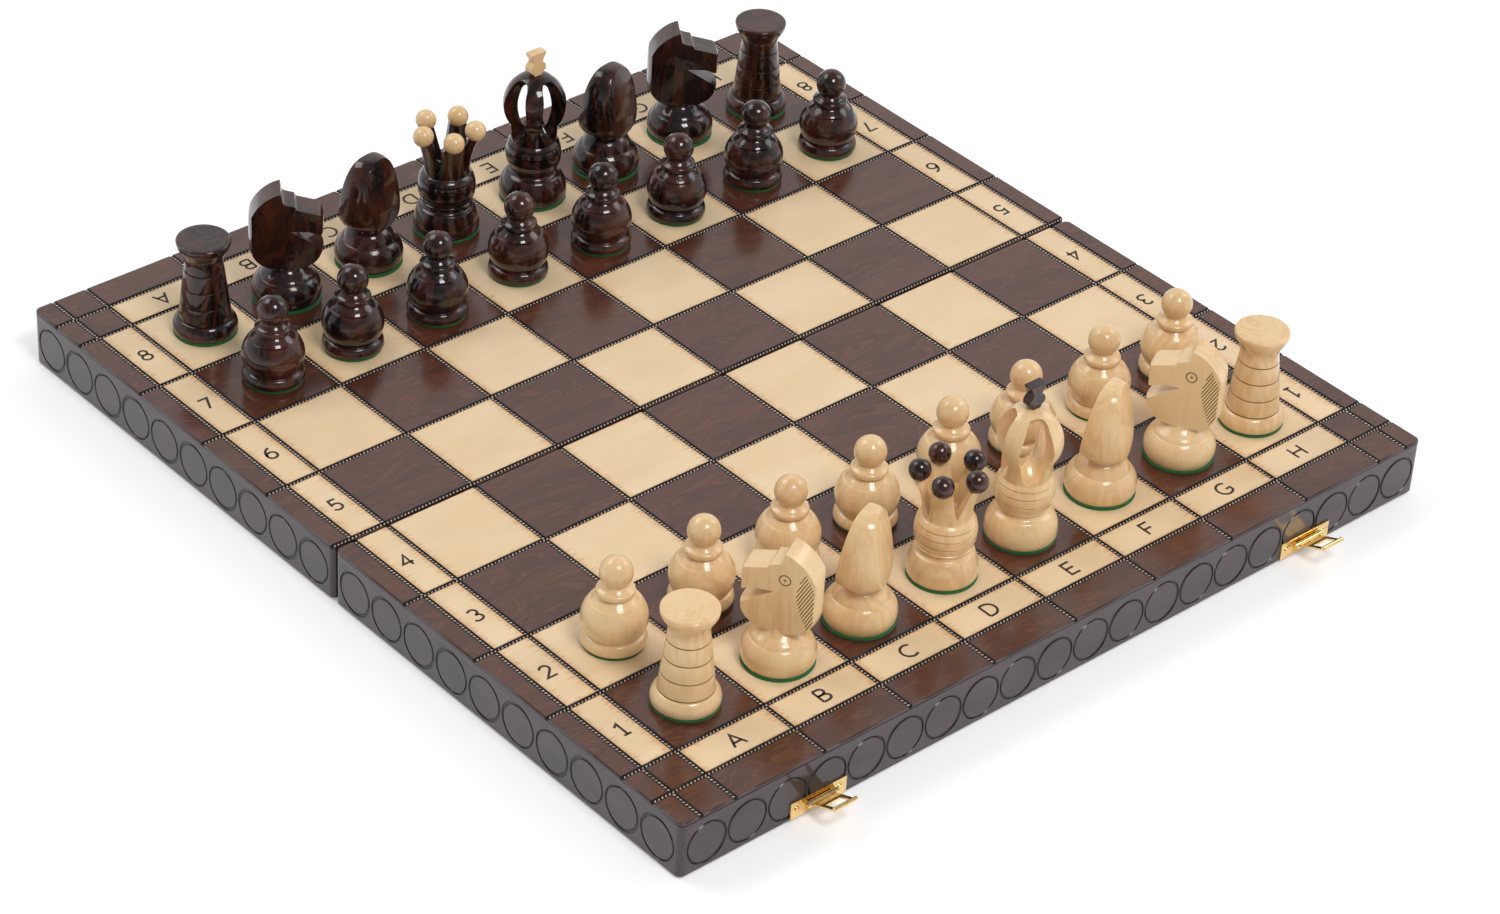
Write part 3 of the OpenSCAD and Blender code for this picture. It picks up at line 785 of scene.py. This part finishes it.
def store_cells(mesh, cells):
    """Writes each corner's place from its cell's middle with the cell's half sizes, and each face's seed."""
    colour = mesh.color_attributes.new("cell", "FLOAT_COLOR", "CORNER")
    seed = mesh.attributes.new("seed", "FLOAT", "FACE")
    values = np.zeros((len(mesh.loops), 4), np.float32)
    for poly, (cx, cy, hx, hy, s) in zip(mesh.polygons, cells):
        for k in poly.loop_indices:
            co = mesh.vertices[mesh.loops[k].vertex_index].co / MM
            values[k] = (co.x - cx, co.y - cy, hx, hy)
        seed.data[poly.index].value = s
    colour.data.foreach_set("color", values.ravel())


def rope_piece(side, name, material):
    """The little slanted ridges pressed along every groove, as on a twisted cord."""
    xl, yl = groove_lines(side)
    pitch, long, wide, high = 1.85, 0.74, 0.40, 0.46
    foot = oval((0, 0), long, wide, 0, 315, 7)
    shape = [(*p, 0.0) for p in foot] + [(0.72 * x, 0.6 * y, 0.75 * high) for x, y in foot]
    shape = np.array(shape + [(0, 0, high)])
    bead_faces = [[k, (k + 1) % 8, (k + 1) % 8 + 8, k + 8] for k in range(8)]
    bead_faces += [[k + 8, (k + 1) % 8 + 8, 16] for k in range(8)]
    random = np.random.default_rng(5 + side)
    verts, faces = [], []

    def run(start, end, fixed, along_x, breaks):
        count = int((end - start) / pitch)
        for k in range(count):
            at = start + (k + 0.5) * (end - start) / count
            if any(abs(at - b) < GROOVE_W * 0.6 for b in breaks):
                continue
            angle = math.radians((48 if along_x else 138) + random.uniform(-5, 5))
            c, s = math.cos(angle), math.sin(angle)
            pts = shape * random.uniform(0.88, 1.0)
            x = pts[:, 0] * c - pts[:, 1] * s
            y = pts[:, 0] * s + pts[:, 1] * c
            # the ridges stay between the groove's walls
            limit = GROOVE_W / 2 - 0.12
            if along_x:
                y = np.clip(y, -limit, limit)
            else:
                x = np.clip(x, -limit, limit)
            base = len(verts)
            place = (at, fixed) if along_x else (fixed, at)
            verts.extend(zip(x + place[0], y + place[1], pts[:, 2] + BOARD_H - GROOVE_D - 0.04))
            faces.extend([[i + base for i in f] for f in bead_faces])

    for y in yl:
        run(-HALF_X + 0.8, HALF_X - 0.8, side * y, True, [])
    lo, hi = sorted((side * (FOLD_Y + 0.4), side * (HALF_Y - 0.7)))
    for x in xl:
        run(lo, hi, x, False, [side * y for y in yl])
    return mesh_object(name, verts, faces, [material], sharp=50)


# ---------- the coordinates ----------

def glyph_strokes():
    """Each letter and digit as strokes in a box one unit high."""
    def bowl(cy, rx, ry, start=0.4):
        return [(0, cy + ry), (start, cy + ry)] + oval((start, cy), rx, ry, 90, -90, 10) + [(0, cy - ry)]

    def ring(cx, cy, rx, ry, a=0, b=360):
        return oval((cx, cy), rx, ry, a, b, 22)

    return {
        "A": [[(0, 0), (0.42, 1), (0.84, 0)], [(0.13, 0.32), (0.71, 0.32)]],
        "B": [[(0, 0), (0, 1)], bowl(0.76, 0.28, 0.24, 0.3), bowl(0.26, 0.34, 0.26, 0.32)],
        "C": [ring(0.52, 0.5, 0.5, 0.5, 52, 308)],
        "D": [[(0, 0), (0, 1)], bowl(0.5, 0.5, 0.5, 0.3)],
        "E": [[(0.62, 1), (0, 1), (0, 0), (0.64, 0)], [(0, 0.52), (0.56, 0.52)]],
        "F": [[(0.6, 1), (0, 1), (0, 0)], [(0, 0.5), (0.54, 0.5)]],
        "G": [ring(0.52, 0.5, 0.5, 0.5, 52, 325) + [(0.92, 0.44), (0.58, 0.44)]],
        "H": [[(0, 0), (0, 1)], [(0.74, 0), (0.74, 1)], [(0, 0.52), (0.74, 0.52)]],
        "1": [[(0.12, 0.8), (0.4, 1), (0.4, 0)], [(0.16, 0), (0.64, 0)]],
        "2": [ring(0.34, 0.72, 0.29, 0.28, 165, -35) + [(0.02, 0), (0.66, 0)]],
        "3": [ring(0.3, 0.75, 0.27, 0.25, 150, -90), ring(0.3, 0.25, 0.33, 0.26, 90, -150)],
        "4": [[(0.5, 0), (0.5, 1), (0.0, 0.28), (0.7, 0.28)]],
        "5": [[(0.6, 1), (0.14, 1), (0.1, 0.55)] + ring(0.3, 0.31, 0.32, 0.3, 118, -150)],
        "6": [ring(0.34, 0.3, 0.31, 0.3), oval((0.66, 0.3), 0.63, 0.72, 180, 100, 10)],
        "7": [[(0, 1), (0.64, 1), (0.22, 0)]],
        "8": [ring(0.32, 0.76, 0.25, 0.24), ring(0.32, 0.27, 0.31, 0.27)],
    }


def ribbon(points, width, verts, faces, low, high):
    """A closed strip along a stroke, from low to high."""
    pts = [np.array(p, float) for p in points]
    closed = np.allclose(pts[0], pts[-1])
    if closed:
        pts = pts[:-1]
    n, base = len(pts), len(verts)
    for i, p in enumerate(pts):
        a = pts[i - 1] if i or closed else p
        b = pts[(i + 1) % n] if i < n - 1 or closed else p
        u, v = p - a, b - p
        u = u / np.linalg.norm(u) if np.linalg.norm(u) else v / np.linalg.norm(v)
        v = v / np.linalg.norm(v) if np.linalg.norm(v) else u
        t = (u + v) / np.linalg.norm(u + v)
        side = np.array([-t[1], t[0]]) * width / 2 / max(0.45, float(t @ u))
        for q, z in ((p + side, low), (p - side, low), (p - side, high), (p + side, high)):
            verts.append((q[0], q[1], z))
    for i in range(n if closed else n - 1):
        a, b = base + 4 * i, base + 4 * ((i + 1) % n)
        faces += [[a + e, a + (e + 1) % 4, b + (e + 1) % 4, b + e] for e in range(4)]
    if not closed:
        faces += [[base + e for e in (3, 2, 1, 0)], [base + 4 * (n - 1) + e for e in range(4)]]


def coordinates_piece(side, name, material, height=7.6, width=1.2):
    """The burnt letters along a half's edge and the digits of its ranks on both sides."""
    glyphs = glyph_strokes()
    strip_x = 4 * SQUARE + STRIP_X / 2
    strip_y = FOLD_ZONE + 4 * SQUARE + STRIP_Y / 2
    # up is 1 for a mark that reads from the front and -1 for one that reads from the rear
    up = 1 if side == FRONT else -1
    marks = [(file.upper(), (i - 3.5) * SQUARE, side * strip_y, up) for i, file in enumerate(FILES)]
    for rank in range(4):
        y = side * (FOLD_ZONE + (rank + 0.5) * SQUARE)
        digit = str(5 + rank if side == REAR else 4 - rank)
        marks += [(digit, -strip_x, y, 1), (digit, strip_x, y, -1)]
    verts, faces = [], []
    for char, x, y, up in marks:
        strokes = glyphs[char]
        wide = max(u for stroke in strokes for u, v in stroke)
        for stroke in strokes:
            pts = [(x + up * (u - wide / 2) * height, y + up * (v - 0.5) * height) for u, v in stroke]
            ribbon(pts, width, verts, faces, BOARD_H - 0.1, BOARD_H + 0.025)
    return tidy_normals(mesh_object(name, verts, faces, [material]))


# ---------- the rails with their pressed rings ----------

RING_R, RING_Z, RING_DEPTH = 9.85, 11.9, 0.55


def rail_piece(name, length, rings, outward, place, materials):
    """A mitred rail along its own X with pressed rings and rounded ends, its outer face at Y = 0.

    Built looking to -Y, it is turned by outward degrees about Z and its middle put at place.
    Slots: stain, ring grooves, inside."""
    straight = length - 2 * CORNER_R
    pitch = straight / rings
    steps = 14
    zs = np.linspace(0, RAIL_H, steps + 1)
    verts, faces, slots = [], [], []
    index = {}

    def vertex(x, y, z):
        key = (round(x, 4), round(y, 4), round(z, 4))
        if key not in index:
            index[key] = len(verts)
            verts.append(key)
        return index[key]

    top_edge = []
    for k in range(rings):
        x0 = -straight / 2 + k * pitch
        xs = np.linspace(x0, x0 + pitch, steps + 1)
        border = [(x, 0.0) for x in xs[:-1]] + [(xs[-1], z) for z in zs[:-1]]
        border += [(x, RAIL_H) for x in xs[:0:-1]] + [(xs[0], z) for z in zs[:0:-1]]
        cx, lean = x0 + pitch / 2, math.radians(135 if k % 2 else -45)
        rays = [math.atan2(z - RING_Z, x - cx) for x, z in border]

        def ring(part, depth):
            """One edge of the pressed ring, which is wider where the tool leant."""
            out = []
            for a in rays:
                r = RING_R + part * (0.55 + 0.42 * max(0.0, math.cos(a - lean)) ** 2)
                out.append(vertex(cx + r * math.cos(a), depth, RING_Z + r * math.sin(a)))
            return out

        loops = [[vertex(x, 0, z) for x, z in border], ring(1, 0)]
        loops += [ring(0.45, RING_DEPTH), ring(-0.35, RING_DEPTH), ring(-1, 0)]
        for m, (a, b) in enumerate(zip(loops, loops[1:])):
            for i in range(len(border)):
                j = (i + 1) % len(border)
                faces.append([a[i], a[j], b[j], b[i]])
                slots.append(0 if m == 0 else 1)
        faces.append(loops[-1])
        slots.append(0)
        top_edge += list(xs[:-1])
    top_edge.append(straight / 2)
    # round each corner as far as its mitre
    arc = oval((straight / 2, CORNER_R), CORNER_R, CORNER_R, -90, -45, 4)[1:]
    path = [(-x, y) for x, y in arc[::-1]] + [(x, 0.0) for x in top_edge] + arc
    for a, b in zip(path, path[1:]):
        if a[1] or b[1]:
            for low, high in zip(zs, zs[1:]):
                faces.append([vertex(*a, low), vertex(*b, low), vertex(*b, high), vertex(*a, high)])
                slots.append(0)
    inner = [(length / 2 - RAIL_T, RAIL_T), (-length / 2 + RAIL_T, RAIL_T)]
    for z, flip in ((0.0, -1), (RAIL_H, 1)):
        faces.append([vertex(x, y, z) for x, y in path + inner][::flip])
        slots.append(0)
    # the two mitres and the inner face between them
    inside = (0.0, RAIL_H)
    sides = [(path[-1], zs), (inner[0], inside), (inner[1], inside), (path[0], zs)]
    for slot, ((a, a_zs), (b, b_zs)) in zip((0, 2, 0), zip(sides, sides[1:])):
        low, high = [vertex(*a, z) for z in a_zs], [vertex(*b, z) for z in b_zs]
        faces.append([low[0]] + high + low[:0:-1])
        slots.append(slot)
    obj = mesh_object(name, verts, faces, materials, slots, 30)
    tidy_normals(obj)
    finish_mesh(obj.data, 30)
    return moved(obj, place, [("Z", outward)])


def build_half(side, body, m):
    word = "front" if side == FRONT else "rear"
    tops = [m["light_square"], m["dark_square"], m["groove"], m["stain"], m["plain"]]
    panel = panel_piece(side, f"top_{word}", tops)
    pieces = [
        (panel, f"{word}_panel", "case_panel"),
        (rope_piece(side, f"rope_{word}", m["rope"]), None, "case_side"),
        (coordinates_piece(side, f"coordinates_{word}", m["ink"]), None, "case_side"),
    ]
    depth = HALF_Y - FOLD_Y
    mid = side * (HALF_Y + FOLD_Y) / 2
    rails = [m["stain"], m["burnt"], m["plain"]]
    for where, length, rings, outward, place in (
        ("left", depth, 10, -90, (-HALF_X, mid, 0)),
        ("right", depth, 10, 90, (HALF_X, mid, 0)),
        ("outer", 2 * HALF_X, 20, 0 if side == FRONT else 180, (0, side * HALF_Y, 0)),
    ):
        rail = rail_piece(f"rail_{word}_{where}", length, rings, outward, place, rails)
        pieces.append((rail, f"{word}_rail_{where}", "case_side"))
    for obj, node, slot in pieces:
        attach(obj, body)
        if node:
            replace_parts(obj, node)


# ---------- materials ----------

def grain(s, ring_mm=2.6):
    """Upright fibres and growth rings, each from 0 to 1."""
    fibres = s.noise((0.9, 0.9, 0.05), 5.0, 0.65)
    warp = s.noise((0.05, 0.05, 0.012), 3.0, 0.5)
    wave = s.math("SINE", s.times(warp, 160.0 / ring_mm))
    return fibres, s.math("MULTIPLY_ADD", wave, 0.5, 0.5)


def turned_light():
    """Pale lacquered hardwood of the light pieces."""
    s = Shader("light_wood")
    fibres, rings = grain(s)
    cloud = s.noise((0.03, 0.03, 0.02), 2.0)
    colour = s.mix(s.ramp(rings, 0.1, 0.95), (0.80, 0.545, 0.275), (0.74, 0.475, 0.225))
    colour = s.mix(s.ramp(cloud, 0.35, 0.7), colour, (0.82, 0.58, 0.31))
    colour = s.mix(s.times(s.ramp(fibres, 0.5, 0.8), 0.5), colour, (0.60, 0.35, 0.14))
    return s.surface(
        Base_Color=colour, Roughness=0.42, Specular_IOR_Level=0.3, Coat_Weight=0.9, Coat_Roughness=0.14,
        Normal=s.bump(fibres, 0.03, 0.25), Subsurface_Weight=0.06, Subsurface_Scale=0.002,
    )


def turned_dark():
    """Near black red-brown stain under thick gloss lacquer that has sunk into the pores."""
    s = Shader("dark_wood")
    fibres, rings = grain(s)
    cloud = s.noise((0.05, 0.05, 0.025), 3.0)
    colour = s.mix(s.ramp(cloud, 0.42, 0.7), (0.006, 0.003, 0.0028), (0.066, 0.015, 0.007))
    colour = s.mix(s.times(s.ramp(rings, 0.55, 1.0), 0.5), colour, (0.085, 0.019, 0.009))
    colour = s.mix(s.ramp(fibres, 0.5, 0.75), colour, (0.005, 0.0025, 0.002))
    pores = s.noise((1.1, 1.1, 0.35), 3.0, 0.6)
    patch = s.ramp(s.noise((0.09, 0.09, 0.09), 2.0), 0.48, 0.62)
    return s.surface(
        Base_Color=colour, Roughness=0.4, Specular_IOR_Level=0.1, Coat_Weight=1.0, Coat_Roughness=0.045,
        Coat_Normal=s.bump(s.times(pores, patch), 0.16, 0.6),
        Normal=s.bump(fibres, 0.04, 0.3),
    )


def speckled(name, scale, a, b, detail=3.0, seed=True, bump=None, **finish):
    """A fine two-tone speckle for small or plain surfaces, with a bump of (millimetres, strength)."""
    s = Shader(name)
    speck = s.noise((scale, scale, scale), detail, seed=seed)
    if bump:
        finish["Normal"] = s.bump(speck, *bump)
    return s.surface(Base_Color=s.mix(speck, a, b), **finish)


def incised(name, a, b):
    """The burnt bottoms of cut lines and turned rings."""
    return speckled(name, 1.0, a, b, 2.0, Roughness=0.6, Specular_IOR_Level=0.2)


def cell_places(s):
    """On a board face: millimetres to its cell's side across X and across Y, and the cell's own shift."""
    cell = s.node("ShaderNodeAttribute", attribute_name="cell")
    parts = s.node("ShaderNodeSeparateXYZ")
    s.plug(parts.inputs[0], cell.outputs["Vector"])
    dx = s.math("SUBTRACT", parts.outputs[2], s.math("ABSOLUTE", parts.outputs[0]))
    dy = s.math("SUBTRACT", cell.outputs["Alpha"], s.math("ABSOLUTE", parts.outputs[1]))
    seed = s.node("ShaderNodeAttribute", attribute_name="seed").outputs["Fac"]
    return dx, dy, {"seed": seed, "steps": (0.9, 1.7, 2.3)}


def light_square():
    """Pale veneer, scorched along the pressed grooves, the scorch streaking along the grain."""
    s = Shader("light_square")
    dx, dy, cut = cell_places(s)
    fibres = s.noise((0.06, 1.1, 1.1), 4.0, 0.6, **cut)
    cloud = s.noise((0.02, 0.05, 0.05), 3.0, **cut)
    colour = s.mix(s.ramp(cloud, 0.3, 0.75), (0.775, 0.57, 0.335), (0.83, 0.635, 0.40))
    colour = s.mix(s.times(s.ramp(fibres, 0.5, 0.85), 0.6), colour, (0.74, 0.53, 0.30))
    streak = s.noise((0.12, 1.3, 1.3), 3.0, 0.7, **cut)
    reach_x = s.times(s.math("POWER", streak, 2.6), 14.0)
    burn_x = s.ramp(s.math("SUBTRACT", reach_x, dx), -0.6, 2.4)
    blotch = s.noise((0.5, 0.5, 0.5), 2.0, **cut)
    reach_y = s.times(s.math("POWER", blotch, 2.0), 4.0)
    burn_y = s.ramp(s.math("SUBTRACT", reach_y, dy), -0.4, 1.4)
    burn = s.math("MAXIMUM", burn_x, burn_y)
    colour = s.mix(s.times(burn, 0.6), colour, (0.55, 0.27, 0.09))
    rim = s.ramp(s.math("MINIMUM", dx, dy), 0.45, 0.0)
    colour = s.mix(s.times(rim, 0.8), colour, (0.10, 0.035, 0.015))
    return s.surface(
        Base_Color=colour, Roughness=0.42, Coat_Weight=0.35, Coat_Roughness=0.28,
        Normal=s.bump(fibres, 0.03, 0.25),
    )


def dark_square():
    """Dark red-brown stained veneer with figure, under gloss lacquer."""
    s = Shader("dark_square")
    dx, dy, cut = cell_places(s)
    fibres = s.noise((0.07, 1.0, 1.0), 4.0, 0.6, **cut)
    figure = s.noise((0.018, 0.06, 0.06), 4.0, 0.55, 0.8, **cut)
    wave = s.math("SINE", s.times(figure, 55.0))
    colour = s.mix(s.ramp(figure, 0.3, 0.7), (0.062, 0.018, 0.0095), (0.098, 0.030, 0.015))
    colour = s.mix(s.times(s.ramp(wave, 0.75, 1.0), 0.4), colour, (0.17, 0.055, 0.025))
    colour = s.mix(s.ramp(fibres, 0.5, 0.85), colour, (0.048, 0.015, 0.009))
    rim = s.ramp(s.math("MINIMUM", dx, dy), 1.0, 0.0)
    colour = s.mix(s.times(rim, 0.7), colour, (0.012, 0.006, 0.005))
    return s.surface(
        Base_Color=colour, Roughness=0.45, Specular_IOR_Level=0.15, Coat_Weight=1.0, Coat_Roughness=0.16,
        Normal=s.bump(fibres, 0.03, 0.3),
        Coat_Normal=s.bump(fibres, 0.012, 0.25),
    )


def groove_black():
    return speckled(
        "groove", 1.5, (0.006, 0.004, 0.0035), (0.018, 0.011, 0.009), seed=False, bump=(0.05, 0.4),
        Roughness=0.6, Specular_IOR_Level=0.08, Coat_Weight=0.15, Coat_Roughness=0.3,
    )


def case_stain():
    """The case's sides: dark purple-brown stain under gloss, grain along each rail."""
    s = Shader("stain")
    fibres = s.noise((0.08, 0.08, 0.9), 4.0, 0.6)
    cloud = s.noise((0.03, 0.03, 0.08), 3.0)
    colour = s.mix(s.ramp(cloud, 0.3, 0.7), (0.030, 0.0185, 0.0235), (0.050, 0.030, 0.035))
    colour = s.mix(s.ramp(fibres, 0.5, 0.85), colour, (0.020, 0.0125, 0.016))
    return s.surface(
        Base_Color=colour, Roughness=0.4, Specular_IOR_Level=0.1, Coat_Weight=1.0, Coat_Roughness=0.12,
        Normal=s.bump(fibres, 0.04, 0.3),
    )


def burnt():
    """Scorched bottoms of the pressed rings."""
    return speckled(
        "burnt", 0.8, (0.010, 0.007, 0.008), (0.030, 0.020, 0.024), bump=(0.06, 0.4),
        Roughness=0.4, Specular_IOR_Level=0.1, Coat_Weight=0.7, Coat_Roughness=0.25,
    )


def rope():
    """The raised threads of the pressed grooves, their pale colour a painted highlight on their gloss."""
    s = Shader("rope")
    speck = s.noise((0.9, 0.9, 0.9), 3.0, seed=False)
    # the pale grey-beige of the threads is painted highlight, standing in for the gloss glinting off each
    # ridge
    colour = s.mix(s.ramp(speck, 0.3, 0.55), (0.22, 0.16, 0.11), (0.62, 0.52, 0.42))
    return s.surface(Base_Color=colour, Roughness=0.35, Coat_Weight=0.8, Coat_Roughness=0.12)


def plain_wood():
    """Bare pale wood inside the case."""
    s = Shader("plain_wood")
    fibres = s.noise((0.06, 0.9, 0.9), 5.0, 0.6)
    colour = s.mix(fibres, (0.72, 0.52, 0.31), (0.58, 0.38, 0.20))
    return s.surface(Base_Color=colour, Roughness=0.65, Normal=s.bump(fibres, 0.05, 0.4))


def ink():
    return speckled("burnt_ink", 1.2, (0.020, 0.012, 0.009), (0.06, 0.032, 0.02), 2.0, False, Roughness=0.6)


def brass():
    """Thin stamped brass, a little scratched."""
    s = Shader("brass")
    scratch = s.noise((0.25, 2.2, 2.2), 3.0)
    tarnish = s.ramp(s.noise((0.35, 0.35, 0.35), 3.0), 0.5, 0.7)
    colour = s.mix(scratch, (0.86, 0.60, 0.25), (0.95, 0.74, 0.38))
    colour = s.mix(s.times(tarnish, 0.6), colour, (0.42, 0.24, 0.09))
    rough = s.math("MULTIPLY_ADD", scratch, 0.14, 0.06)
    return s.surface(Base_Color=colour, Metallic=1.0, Roughness=rough, Normal=s.bump(scratch, 0.03, 0.3))


def felt():
    return speckled(
        "felt", 3.0, (0.004, 0.090, 0.017), (0.010, 0.165, 0.038), bump=(0.15, 0.7),
        Roughness=0.95, Sheen_Weight=0.15, Sheen_Roughness=0.5,
    )


# ---------- putting it together ----------

board_looks = {
    "light_square": light_square(), "dark_square": dark_square(), "groove": groove_black(),
    "stain": case_stain(), "burnt": burnt(), "plain": plain_wood(), "ink": ink(), "rope": rope(),
}
brass_look = brass()
build_half(FRONT, "front_half", board_looks)
build_half(REAR, "rear_half", board_looks)
set_out({
    "light_wood": [turned_light(), incised("incised_light", (0.34, 0.18, 0.08), (0.22, 0.11, 0.045))],
    "dark_wood": [turned_dark(), incised("incised_dark", (0.012, 0.006, 0.005), (0.03, 0.012, 0.008))],
    "felt": felt(),
})

replaced = {n for o in bpy.context.scene.objects for n in o.get("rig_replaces", [])}
for node, obj in frame["nodes"].items():
    if node in replaced:
        continue
    look = board_looks["stain"] if "rail" in node else brass_look
    obj.data.materials.clear()
    obj.data.materials.append(look)
    ease_edges(obj, 0.14, 2, 35)


# ---------- floor, light and camera ----------

def floor():
    look = speckled(
        "paper", 0.02, (0.90, 0.90, 0.91), (0.92, 0.92, 0.93), 2.0, False,
        Roughness=0.7, Emission_Color=(1.0, 1.0, 1.0, 1.0), Emission_Strength=0.22,
    )
    level, half = CAD_BOX[0].z / MM, 4000
    corners = [(x * half, y * half, level) for x, y in ((-1, -1), (1, -1), (1, 1), (-1, 1))]
    mesh_object("floor", corners, [[0, 1, 2, 3]], [look])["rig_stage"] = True


def soft_light(name, place, aim, size, power):
    data = bpy.data.lights.new(name, "AREA")
    data.shape, data.size, data.size_y, data.energy = "RECTANGLE", size[0], size[1], power
    obj = link(bpy.data.objects.new(name, data))
    obj.location = place
    obj.rotation_euler = (Vector(aim) - Vector(place)).to_track_quat("-Z", "Y").to_euler()


def camera():
    """A long lens from the front left corner, looking down at the middle of the set."""
    data = bpy.data.cameras.new("camera")
    data.lens, data.sensor_width, data.clip_end = 104.9, 36.0, 50.0
    cam = link(bpy.data.objects.new("camera", data))
    cam.location = Vector((-1088.7, -1182.2, 1130.5)) * MM
    cam.rotation_euler = [math.radians(a) for a in (54.40647, -2.91676, -41.07530)]
    bpy.context.scene.camera = cam


floor()
camera()
soft_light("key", (-0.5, 1.1, 1.5), (0, 0, 0), (1.0, 0.8), 9)
soft_light("fill", (1.4, -0.4, 1.2), (0, 0, 0), (0.7, 0.9), 5)
soft_light("front", (-0.25, -1.15, 1.65), (0, 0, 0), (0.6, 0.6), 17)


def studio_sky():
    """A white sweep low down and behind the set, darker overhead and on the viewer's side."""
    s = Shader("studio", world=True)
    parts = s.node("ShaderNodeSeparateXYZ")
    s.plug(parts.inputs[0], s.node("ShaderNodeTexCoord").outputs["Generated"])
    # the viewer's side is towards -X and -Y
    behind = s.math("ADD", parts.outputs[0], parts.outputs[1])
    height = s.math("MULTIPLY_ADD", behind, -0.35, parts.outputs[2])
    shine = s.node("ShaderNodeBackground")
    s.plug(shine.inputs["Strength"], s.math("MULTIPLY_ADD", s.ramp(height, 0.30, 0.85), -0.72, 1.0))
    s.plug(s.out.inputs["Surface"], shine.outputs[0])
    bpy.context.scene.world = s.owner


studio_sky()
bpy.context.scene.view_settings.view_transform = "Standard"

[[list(corner) for corner in box] for box in (CAD_BOX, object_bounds())]
